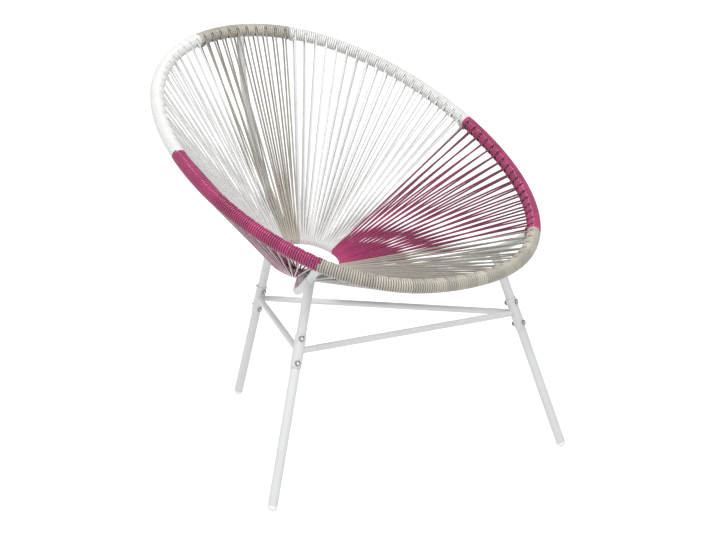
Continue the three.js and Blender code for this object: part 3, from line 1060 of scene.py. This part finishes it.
        # Painted shade in the groove between turns and under the cord: 1 on the sides and underside of the
        # section, 0 on its outer face.
        groove_shade_mask = 1.0 - ease(np.sin(around(self.sides)), 0.0, self.groove_shade_edge)
        for group, start, end in spans:
            count = int((end - start) / TURN * self.steps_per_turn) + 1
            phases = np.linspace(start, end, count)
            path, out = self.cord_lines(group, phases, gather)
            entering = self.entering(phases)
            along = half * (self.tightness - gather * self.gather_thinning * self.openness(phases))
            tint = self.random.uniform(*self.wound_tint, (len(group), 1))
            # Painted shade where the cord comes onto the tube still stretched.
            tint = tint + (self.stretched_painted_shade - tint) * entering
            grids = sweep(path, out, along, half - self.sunk * entering, self.sides)
            shell.add(grids, tint[..., None] + self.groove_painted_shade * groove_shade_mask)
        for border, way in ((first, 1), (last, -1)):
            # Painted shade on the tucked tails too.
            shell.add(self.tail(border, way), self.stretched_painted_shade)
        shell.piece(node.replace("_winding", "_wound_cord"), self.finishes.cords[colour], node)

    def strand_lines(self, hoop_loops: Array, ring_loops: Array, layer: int) -> Array:
        """Cords of one layer, from the winding to the ring.

        Close to the hoop each follows a cubic curve from the turn's own direction into a straight line, which
        bows a little towards the sitter.

        Args:
            hoop_loops: Places where the cords leave the hoop.
            ring_loops: Places where they meet the ring.
            layer: 1 for the upper cords and -1 for the lower ones.

        Returns:
            Points shaped (cords, stations, 3).
        """
        turn = TURN / 4 * layer
        leaving = self.plan.on_hoop(hoop_loops + layer * 0.25 / self.plan.turns)
        landing = self.plan.on_ring(ring_loops)
        start = leaving.point(self.radius - self.sunk * (1 + layer) / 2, turn)
        end = landing.point(self.ring_radius, turn)
        way = unit(end - start)
        joined = start + way * self.curve_length
        bend = np.linspace(0.0, 1.0, self.curve_stations)[:, None]
        pulls = (leaving.across[:, None] * self.pull * 2, way[:, None] * self.pull * 3)
        curve = hermite(start[:, None], joined[:, None], *pulls, bend)
        share = np.array(self.straight_shares)[:, None]
        bow = self.random.normal(0.0, self.wander, (len(start), 1, 1)) * leaving.up[:, None]
        drift = self.random.normal(0.0, 2 * self.wander, (len(start), 1, 1)) * leaving.along[:, None]
        straight = joined[:, None] + share * (end - joined)[:, None] + 4 * share * (1 - share) * (bow + drift)
        return np.concatenate([curve, straight, end[:, None]], axis=1)

    def fan(self, node: str, colour: Colour, first: int, last: int, side: int) -> None:
        """Stretches the cords of one slice, with their loops round the ring.

        Args:
            node: The CAD node that it stands for.
            colour: Colour of the cord.
            first: Loop border where the slice starts, on the left half.
            last: Loop border where it ends.
            side: 1 for the sitter's left half and -1 for the right.
        """
        loops = np.arange(first, last) + 0.5
        low = self.plan.lower_place(loops, first, last)
        upper = self.strand_lines(side * loops, side * loops, 1)
        lower = self.strand_lines(side * loops, side * low, -1)
        angle = np.linspace(TURN / 4, -TURN / 4, self.ring_stations)
        place = side * (loops[:, None] + (low - loops)[:, None] * (1.0 - angle / (TURN / 4)) / 2)
        loop = self.plan.on_ring(place).point(self.ring_radius, angle)
        path = np.concatenate([upper, loop[:, 1:-1], lower[:, ::-1]], axis=1)
        middle = path.shape[1] // 2
        number = np.abs(np.arange(path.shape[1]) - middle)
        widths = (self.ring_width, self.middle_width, self.plan.stretched)
        half = np.interp(number, self.strand_places, widths) / 2
        side_way = self.plan.on_hoop(side * loops).along[:, None]
        grids = sweep(path, np.broadcast_to(side_way, path.shape), half, half, self.sides)
        # Painted light on the loop round the ring, growing to painted shade towards the hoop.
        shades = (*self.strand_light_and_shade, self.stretched_painted_shade)
        tint = np.interp(number, (*self.strand_places, middle), shades)
        shell = Shell()
        shell.add(grids, tint + self.random.uniform(-self.tint_spread, self.tint_spread, (len(loops), 1)))
        shell.piece(node.replace("_fan", "_cords"), self.finishes.cords[colour], node)

    def build(self) -> None:
        """Makes the six windings and the eighteen slices of cords."""
        front, side, upper, half = self.plan.borders[1:]
        runs = [
            ("front_taupe_winding", Colour.TAUPE, -front, front),
            ("left_magenta_winding", Colour.MAGENTA, front, side),
            ("left_white_winding", Colour.WHITE, side, upper),
            ("back_taupe_winding", Colour.TAUPE, upper, 2 * half - upper),
            ("right_white_winding", Colour.WHITE, 2 * half - upper, 2 * half - side),
            ("right_magenta_winding", Colour.MAGENTA, 2 * half - side, 2 * half - front),
        ]
        for run in runs:
            self.winding(*run)
        for section, first in zip(self.plan.sections, self.plan.borders):
            edges = np.linspace(first, first + section.loops, section.slices + 1)
            edges = np.floor(edges + 0.5).astype(int).tolist()
            for number, (low, high) in enumerate(zip(edges[:-1], edges[1:]), 1):
                ending = f"_{number}" if section.slices > 1 else ""
                for side_name, side_sign in (("left", 1), ("right", -1)):
                    self.fan(f"{side_name}_{section.name}_fan{ending}", section.colour, low, high, side_sign)


# Tube work


class Strut(Enum):
    """The three bent tubes under the cords."""

    RIGHT_FRONT = "right_front"
    LEFT_FRONT = "left_front"
    REAR = "rear"


@dataclass(frozen=True)
class Corner:
    """A leg under a strut, straight from its foot to the strut, with a joint on the way.

    The foot is placed from where the strut meets the hoop, and the top at a share of the way to the ring and
    a drop below the cords.
    """

    loop: int
    foot_outward: float
    foot_backward: float
    joint_height: float
    stub_share: float
    stub_drop: float
    bolt_turn: float
    plan: CordPlan = CordPlan()

    @property
    def foot(self) -> Array:
        """Where the leg's middle line meets the floor."""
        x, y, _ = self.plan.below_cords(self.loop, 0.0, 0.0)
        return np.array([x + self.foot_outward, y + self.foot_backward, 0.0])

    @property
    def top(self) -> Array:
        """Where the stub meets the strut's middle line."""
        return self.plan.below_cords(self.loop, self.stub_share, self.stub_drop)

    @property
    def up(self) -> Array:
        """Unit vector up the leg."""
        return unit(self.top - self.foot)

    @property
    def length(self) -> float:
        """Length of the leg from foot to joint."""
        return self.joint_height / float(self.up[2])

    @property
    def joint(self) -> Array:
        """The middle of the sleeve."""
        return self.foot + self.up * self.length

    @property
    def stub(self) -> float:
        """Length of the stub from the joint to the strut's middle line."""
        return float(np.linalg.norm(self.top - self.joint))

    @property
    def heads(self) -> Array:
        """The way that the bolt heads face, square to the leg."""
        turn = self.bolt_turn
        return square_to(np.array([math.sin(turn), -math.cos(turn), 0.0]), self.up)


def front_corner(side: int) -> Corner:
    """A front corner, with side 1 on the sitter's left and -1 on the right."""
    return Corner(loop=side * CordPlan().borders[1], foot_outward=side * 0.1013, foot_backward=0.0198,
                  joint_height=0.293, stub_share=0.2234, stub_drop=0.0245,
                  bolt_turn=side * math.radians(22))


CORNERS = {
    Strut.RIGHT_FRONT: front_corner(-1),
    Strut.LEFT_FRONT: front_corner(1),
    Strut.REAR: Corner(loop=CordPlan().half, foot_outward=0.0, foot_backward=0.0383, joint_height=0.246,
                       stub_share=0.867, stub_drop=0.0184, bolt_turn=0.0),
}


def meeting_line(base: Array, axis: Array, radius: float, target: Array, target_radius: float,
                 reach: float) -> Array:
    """The line where one round tube runs into another.

    From each point of a circle round the first tube a ray runs along its axis, and halving finds where its
    distance from the other tube's middle line equals that tube's radius. A ray that passes it by ends at the
    full reach.

    Args:
        base: A point on the first tube's middle line, outside the other tube.
        axis: Unit vector along it, towards the other tube.
        radius: Radius of the first tube.
        target: Middle line of the other tube, shaped (points, 3).
        target_radius: Its radius.
        reach: Longest way to go.

    Returns:
        The closed line's points, shaped (48, 3).
    """
    count, halvings, upright = 48, 26, 0.9
    aim = UP if abs(axis[2]) < upright else np.array([1.0, 0.0, 0.0])
    ring = revolve(np.array([[radius, 0.0]]), base, axis, aim, count)[0]
    start, step = target[:-1], np.diff(target, axis=0)
    low, high = np.zeros(count), np.full(count, reach)
    for _ in range(halvings):
        middle = (low + high) / 2
        rays = ring + middle[:, None] * axis
        share = np.einsum("ijk,jk->ij", rays[:, None] - start, step) / np.sum(step * step, 1)
        nearest = start + np.clip(share, 0.0, 1.0)[..., None] * step
        outside = np.linalg.norm(rays[:, None] - nearest, axis=-1).min(axis=1) > target_radius
        low, high = np.where(outside, middle, low), np.where(outside, high, middle)
    return ring + low[:, None] * axis


def weld(line: Array, axis: Array, size: float) -> Array:
    """A weld bead: a round section whose size ripples as the puddle was moved on.

    Args:
        line: The closed line that it follows.
        axis: Axis of the tube inside it.
        size: Mean radius of the bead.

    Returns:
        The bead's surface, shaped (points, sides, 3).
    """
    depth, period, sides = 0.1, 3.0, 10
    ripple = 1.0 + depth * np.cos(np.arange(len(line)) * TURN / period)
    return sweep(line, axis, size * ripple, size * ripple, sides, closed=True)


@dataclass(frozen=True)
class StrutWork:
    """The three bent tubes from the hoop to the ring, and their welds.

    A bend is a share of the way to the ring and a drop below the cords. A tube starts at a share of the
    hoop's radius from its middle line, and its end is inset from the ring's.
    """

    plan: CordPlan = CordPlan()
    radius: float = 0.008
    belly: Span = (0.874, 0.036)
    shoulder: Span = (0.191, 0.0303)
    waist: Span = (0.614, 0.0486)
    samples: int = 24
    sides: int = 28
    start_share: float = 0.7
    end_inset: float = 0.0035
    run_in: float = 0.03
    reach: float = 0.036
    bead: float = 0.0017
    rim_stations: int = 721

    def path(self, name: Strut) -> Array:
        """Middle line of a strut, from the hoop's middle line to the ring.

        Args:
            name: Which strut.

        Returns:
            Stations shaped (stations, 3).
        """
        corner = CORNERS[name]
        top = (corner.stub_share, corner.stub_drop)
        bends = [self.shoulder, self.waist, top] if name is Strut.REAR else [top, self.belly]
        points = [self.plan.below_cords(corner.loop, *bend) for bend in [(0.0, 0.0), *bends, (1.0, 0.0)]]
        points[-1] = points[-1] - unit(points[-1] - points[-2]) * self.end_inset
        return catmull_rom(np.array(points), self.samples)

    def build(self, finishes: Finishes) -> None:
        """Makes the struts, each with its bead at the hoop and at the ring.

        Args:
            finishes: The chair's finishes.
        """
        t = np.linspace(0.0, TURN, self.rim_stations)
        hoop, ring = self.plan.hoop, self.plan.ring
        rims = [(hoop.at(t), hoop.radius), (ring.at(t), ring.tube)]
        for name in Strut:
            path = self.path(name)
            path = path[np.linalg.norm(path - path[0], axis=1) > hoop.radius * self.start_share]
            side = np.cross(path[-1] - path[0], UP)
            shell = Shell().add(sweep(path, side, self.radius, self.radius, self.sides))
            for end, inner, (target, size) in zip(path[[0, -1]], path[[3, -4]], rims):
                axis = unit(end - inner)
                line = meeting_line(end - axis * self.run_in, axis, self.radius, target, size, self.reach)
                shell.add(weld(line, axis, self.bead), closed=True)
            shell.piece(f"{name.value}_bent_strut", finishes.coat, f"{name.value}_strut")


STRUTS = StrutWork()


@dataclass(frozen=True)
class RimWork:
    """The hoop and the ring, a little thinner than the cords around them leave room for."""

    plan: CordPlan
    stations: int = 400
    sides: int = 20
    slack: float = 0.0001

    def build(self, finishes: Finishes) -> None:
        """Sweeps both tubes.

        Args:
            finishes: The chair's finishes.
        """
        t = around(self.stations)
        hoop, ring = self.plan.hoop, self.plan.ring
        rims = [("bent_hoop", hoop.at(t), hoop.radius, "rim_hoop"),
                ("small_ring", ring.at(t[::4]), ring.tube, "centre_ring")]
        for name, path, radius, node in rims:
            grid = sweep(path, UP, radius - self.slack, radius - self.slack, self.sides, closed=True)
            Shell().add(grid, closed=True).piece(name, finishes.coat, node)


@dataclass(frozen=True)
class LegWork:
    """The stub, lower leg, sleeve, plug, bolts and nuts of one corner.

    Shares are of a radius: the shank's at its tip, the recess's at its lip, at a hexagon's corner and at its
    floor, and the nut's under its dome and at the four heights of its flanks.
    """

    name: Strut
    finishes: Finishes
    tube: float = 0.0095
    wall: float = 0.0015
    sides: int = 40
    edge: float = 0.0004
    end_gap: float = 0.0005
    stub_overlap: float = 0.004
    sleeve_radius: float = 0.011
    sleeve_length: float = 0.066
    sleeve_bore: float = 0.0098
    bead: float = 0.0019
    bead_run_in: float = 0.03
    bead_reach: float = 0.0265
    foot_flat: float = 0.0005
    sole_angle: float = 0.08
    plug_gap: float = 0.0002
    plug_shoulder: float = 0.0015
    plug_stem: float = 0.018
    stem_gap: float = 0.0003
    stem_taper: float = 0.001
    bolt_spacing: float = 0.048
    seat_gap: float = 0.0002
    shank: float = 0.003
    head: float = 0.00575
    head_height: float = 0.0034
    head_side: float = 0.0006
    recess: float = 0.0023
    recess_depth: float = 0.0011
    nut: float = 0.005
    nut_height: float = 0.006
    nut_side: float = 0.0034
    thread_end: float = 0.002
    fastener_sides: int = 36
    dome_stations: int = 9
    ball_stations: int = 12
    tip_share: float = 0.8
    lip_share: float = 1.15
    corner_share: float = 1.08
    floor_share: float = 0.9
    recess_middle: float = 0.0003
    dome_share: float = 0.94
    dome_end: float = 1.45
    flank_heights: tuple[float, ...] = (0.0, 0.0003, 0.0028, 0.0031)
    flank_shares: tuple[float, ...] = (0.96, 1.0, 1.0, 0.965)

    @property
    def corner(self) -> Corner:
        """This corner's foot, joint and stub."""
        return CORNERS[self.name]

    def _turned(self, profile: Array) -> Array:
        """A profile turned round the leg's axis, with heights from the joint."""
        corner = self.corner
        return revolve(profile, corner.joint, corner.up, corner.heads, self.sides)

    def _pipe(self, radius: float, bore: float, low: float, high: float) -> Shell:
        """A pipe with softened ends, as a closed profile turned round the leg's axis."""
        corners = np.array([[radius, low], [radius, high], [bore, high], [bore, low]])
        return Shell().add(self._turned(soften(corners, self.edge)), closed=True)

    def build(self) -> None:
        """Makes every piece of the corner."""
        name, corner, coat = self.name.value, self.corner, self.finishes.coat
        bore, half = self.tube - self.wall, self.sleeve_length / 2
        ball_height = -corner.length + (self.tube - self.foot_flat) / corner.up[2]
        leg_bottom = ball_height + self.plug_shoulder + self.plug_gap
        base = corner.joint + corner.up * (corner.stub - self.bead_run_in)
        strut = STRUTS.path(self.name)
        line = meeting_line(base, corner.up, self.tube, strut, STRUTS.radius, self.bead_reach)
        stub = self._pipe(self.tube, bore, self.end_gap, corner.stub - self.stub_overlap)
        stub.add(weld(line, corner.up, self.bead), closed=True)
        stub.piece(f"{name}_stub_tube", coat, f"{name}_leg_stub")
        leg = self._pipe(self.tube, bore, leg_bottom, -self.end_gap)
        leg.piece(f"{name}_leg_tube", coat, f"{name}_lower_leg")
        sleeve = self._pipe(self.sleeve_radius, self.sleeve_bore, -half, half)
        sleeve.piece(f"{name}_sleeve", coat, f"{name}_joint_sleeve")
        self.plug(ball_height, bore - self.stem_gap)
        for place, height in (("upper", self.bolt_spacing / 2), ("lower", -self.bolt_spacing / 2)):
            self._fastener(*self.bolt(), height, f"{place}_bolt_head", f"{place}_bolt", 1)
            self._fastener(self.cap_nut(), 0.0, height, f"{place}_nut", f"{place}_cap_nut", -1)

    def plug(self, ball_height: float, stem: float) -> None:
        """Makes the foot plug: a ball's lower half, flattened by the floor, under a shoulder and a stem.

        The profile's radius is tube sin(a) at a height of tube (1 - cos(a)) above the sole.

        Args:
            ball_height: Height of the ball's middle from the joint, along the leg.
            stem: Radius of the stem.
        """
        angle = np.linspace(self.sole_angle, TURN / 4, self.ball_stations)
        ball = np.stack([self.tube * np.sin(angle), ball_height - self.tube * np.cos(angle)], 1)
        shoulder = ball_height + self.plug_shoulder
        top = shoulder + self.plug_stem
        rest = np.array([[self.tube, shoulder - self.edge], [self.tube - self.edge, shoulder],
                         [stem, shoulder], [stem, top - self.stem_taper], [stem - self.stem_taper, top]])
        grid = self._turned(np.concatenate([ball, rest]))
        grid[..., 2] = np.maximum(grid[..., 2], 0.0)
        name = self.name.value
        Shell().add(grid).piece(f"{name}_plug", self.finishes.plug, f"{name}_foot_plug")

    def _hexagon(self, apothem: float) -> Array:
        """Radii of a hexagon: apothem / cos(a), with a the angle from the nearest flat's middle."""
        angle = around(self.fastener_sides)
        return apothem / np.cos((angle + TURN / 12) % (TURN / 6) - TURN / 12)

    def _rows(self, rows: list[list[float]]) -> Array:
        """A profile's rows repeated for every side of a bolt or nut."""
        return np.repeat(np.array(rows)[:, None, :], self.fastener_sides, axis=1)

    def bolt(self) -> tuple[Array, Array]:
        """A shank, and a domed head with a hexagon recess.

        The dome is a circle's arc in heights and radii that ends at the recess's lip.

        Returns:
            The profile, and the shades of its rows.
        """
        gap, side, hole, depth = self.seat_gap, self.head_side, self.recess, self.recess_depth
        seat = self.sleeve_radius + gap
        end = seat + self.nut_height - self.thread_end
        rise = np.sqrt(1.0 - (hole * self.lip_share / self.head) ** 2)
        angle = np.linspace(0.0, 1.0, self.dome_stations) * math.asin(rise)
        heights = seat + side + (self.head_height - side) * np.sin(angle) / rise
        dome = np.stack([self.head * np.cos(angle), heights], 1)
        top = seat + self.head_height
        rows = [[self.shank * self.tip_share, -end], [self.shank, -end + side], [self.shank, seat - gap],
                [self.shank, seat], [self.head - gap, seat], [self.head, seat + gap], *dome.tolist(),
                [hole, top - gap], [hole, top - depth], [hole * self.floor_share, top - depth - gap / 2],
                [self.recess_middle, top - depth - gap]]
        profile = self._rows(rows)
        hexagon = self._hexagon(1.0)
        profile[-4:-1, :, 0] *= hexagon / hexagon.max() * self.corner_share
        # The recess's rows get tint 1: a painted highlight, pale bright zinc in the recess.
        bright = np.zeros((1, len(rows)))
        bright[:, -3:] = 1.0
        return profile, bright

    def cap_nut(self) -> Array:
        """A hexagon with a dome on it.

        Returns:
            The profile round the bolt.
        """
        seat = self.sleeve_radius + self.seat_gap
        angle = np.linspace(0.0, self.dome_end, self.dome_stations)
        heights = seat + self.nut_side + (self.nut_height - self.nut_side) * np.sin(angle)
        dome = np.stack([self.nut * self.dome_share * np.cos(angle), heights], 1)
        flanks = [[1.0, seat + height] for height in self.flank_heights]
        profile = self._rows([[self.shank, seat], *flanks, *dome.tolist()])
        profile[1:5, :, 0] = self._hexagon(self.nut) * np.array(self.flank_shares)[:, None]
        return profile

    def _fastener(self, profile: Array, tint: Array | float, height: float, piece: str, node: str,
                  way: int) -> None:
        """Turns a bolt or nut about an axis through the sleeve.

        Args:
            profile: Its profile.
            tint: The shades of its rows.
            height: Height of the axis above the joint.
            piece: End of the piece's name.
            node: End of the CAD node's name.
            way: 1 for the heads' side and -1 for the other.
        """
        corner, name = self.corner, self.name.value
        base = corner.joint + corner.up * height
        grid = revolve(profile, base, corner.heads * way, corner.up, self.fastener_sides)
        Shell().add(grid, tint).piece(f"{name}_{piece}", self.finishes.zinc, f"{name}_{node}")


@dataclass(frozen=True)
class StretcherWork:
    """The three thin tubes between the sleeves, drawn in a little at their welded ends."""

    finishes: Finishes
    radius: float = 0.0065
    neck: float = 0.0058
    neck_span: Span = (0.002, 0.03)
    reach: tuple[float, ...] = (0.0, 0.004, 0.009, 0.016, 0.024, 0.034)
    sides: int = 28
    sleeve_radius: float = 0.011
    sleeve_overlap: float = 0.001
    sleeve_line: tuple[float, float, int] = (-0.05, 0.05, 21)
    run_in: float = 0.04
    bead: float = 0.0016

    def build(self) -> None:
        """Makes the three tubes and the beads at both ends of each."""
        runs = {"front": (Strut.RIGHT_FRONT, Strut.LEFT_FRONT), "left": (Strut.LEFT_FRONT, Strut.REAR),
                "right": (Strut.REAR, Strut.RIGHT_FRONT)}
        inset = self.sleeve_radius - self.sleeve_overlap
        reach = np.array(self.reach)
        swell = self.neck + (self.radius - self.neck) * ease(reach, *self.neck_span)
        for name, (first, last) in runs.items():
            start, end = CORNERS[first].joint, CORNERS[last].joint
            axis, length = unit(end - start), float(np.linalg.norm(end - start))
            heights = np.concatenate([inset + reach, (length - inset - reach)[::-1]])
            profile = np.stack([np.concatenate([swell, swell[::-1]]), heights], 1)
            shell = Shell().add(revolve(profile, start, axis, UP, self.sides))
            for corner, way in ((CORNERS[first], -1.0), (CORNERS[last], 1.0)):
                sleeve = corner.joint + np.linspace(*self.sleeve_line)[:, None] * corner.up
                base = corner.joint - axis * way * self.run_in
                line = meeting_line(base, axis * way, self.neck, sleeve, self.sleeve_radius, self.run_in)
                shell.add(weld(line, axis, self.bead), closed=True)
            shell.piece(f"{name}_thin_tube", self.finishes.coat, f"{name}_stretcher")


# Studio


@dataclass(frozen=True)
class Lamp:
    """A large soft lamp that faces the chair: its place, the size of its face and its power in watts."""

    name: str
    place: Triple
    size: Span
    power: float
    target: Triple = (0.0, 0.0, 0.45)

    def build(self) -> None:
        """Hangs the lamp."""
        data = bpy.data.lights.new(self.name, "AREA")
        data.shape = "RECTANGLE"
        data.size, data.size_y = self.size
        data.energy = self.power
        back = unit(np.array(self.place) - np.array(self.target))
        right = unit(np.cross(UP, back))
        turn_to(put(self.name, data), right, np.cross(back, right), back, self.place)


@dataclass(frozen=True)
class Studio:
    """The floor, the soft light and the camera at the photograph's viewing angle.

    The camera was fitted to the photograph, and its pixels are those of a picture of 716 by 540. The room's
    light grows evenly towards its bright side.
    """

    floor_size: float = 60.0
    place: Triple = (-2.2941, -3.4633, 1.3176)
    azimuth: float = math.radians(-33.1)
    elevation: float = math.radians(12.98)
    roll: float = math.radians(-0.49)
    focal: float = 2045.2
    middle: Span = (324.69, 274.81)
    picture: tuple[int, int] = (716, 540)
    sensor: float = 36.0
    sight: float = 200.0
    bright_way: Triple = (-0.8, -0.55, -0.24)
    room_light: float = 0.86
    room_slope: float = 0.26
    lamps: tuple[Lamp, ...] = (
        Lamp("key_lamp", (-2.9, -2.3, 1.9), (1.4, 1.0), 4.0),
        Lamp("front_lamp", (-1.2, -3.9, 2.2), (1.6, 1.0), 4.0),
        Lamp("top_lamp", (-0.6, -1.3, 3.3), (0.9, 1.6), 58.0),
    )

    def camera(self) -> None:
        """Makes the camera, with its shift from where the axis meets the picture."""
        data = bpy.data.cameras.new("photo_camera")
        data.sensor_fit = "HORIZONTAL"
        data.sensor_width = self.sensor
        wide, tall = self.picture
        data.lens = self.focal * data.sensor_width / wide
        data.shift_x = (wide / 2 - self.middle[0]) / wide
        data.shift_y = (self.middle[1] - tall / 2) / wide
        data.clip_end = self.sight
        flat, rise = math.cos(self.elevation), math.sin(self.elevation)
        back = np.array([math.sin(self.azimuth) * flat, -math.cos(self.azimuth) * flat, rise])
        level = unit(np.cross(UP, back))
        upright = np.cross(back, level)
        right = math.cos(self.roll) * level + math.sin(self.roll) * upright
        up = math.cos(self.roll) * upright - math.sin(self.roll) * level
        camera = put("photo_camera", data)
        turn_to(camera, right, up, back, self.place)
        bpy.context.scene.camera = camera

    def floor(self, finish: bpy.types.Material) -> None:
        """Makes the floor, a flat sheet under the feet whose glow doesn't light the chair.

        Args:
            finish: Its material.
        """
        half = self.floor_size / 2
        corners = [(-half, -half, 0), (half, -half, 0), (half, half, 0), (-half, half, 0)]
        mesh = bpy.data.meshes.new("floor")
        mesh.from_pydata(corners, [], [(0, 1, 2, 3)])
        mesh.materials.append(finish)
        sheet = put("floor", mesh)
        sheet.visible_diffuse = False

    def surroundings(self) -> None:
        """Makes the world: a pale room."""
        world = bpy.data.worlds.new("studio")
        sheet = NodeSheet(world, {"Color": (1.0, 1.0, 1.0, 1.0)}, "Background")
        way = sheet.node("ShaderNodeTexCoord", output="Generated")
        inputs = {0: way, 1: self.bright_way}
        share = sheet.node("ShaderNodeVectorMath", {"operation": "DOT_PRODUCT"}, inputs, "Value")
        sheet.feed("Strength", self.room_light + share * self.room_slope)
        bpy.context.scene.world = world

    def build(self, finish: bpy.types.Material) -> None:
        """Sets up the camera, the floor, the lamps and the surroundings.

        Args:
            finish: The floor's material.
        """
        self.camera()
        self.floor(finish)
        for lamp in self.lamps:
            lamp.build()
        self.surroundings()
        bpy.context.scene.view_settings.view_transform = "Standard"


def main() -> None:
    """Builds the chair's pieces in order."""
    logging.basicConfig(level=logging.INFO, format="%(name)s: %(message)s")
    plan, finishes = CordPlan(), Finishes()
    Studio().build(finishes.floor)
    RimWork(plan).build(finishes)
    STRUTS.build(finishes)
    CordWork(plan, finishes).build()
    for name in Strut:
        LegWork(name, finishes).build()
    StretcherWork(finishes).build()


if __name__ == "__main__":
    main()
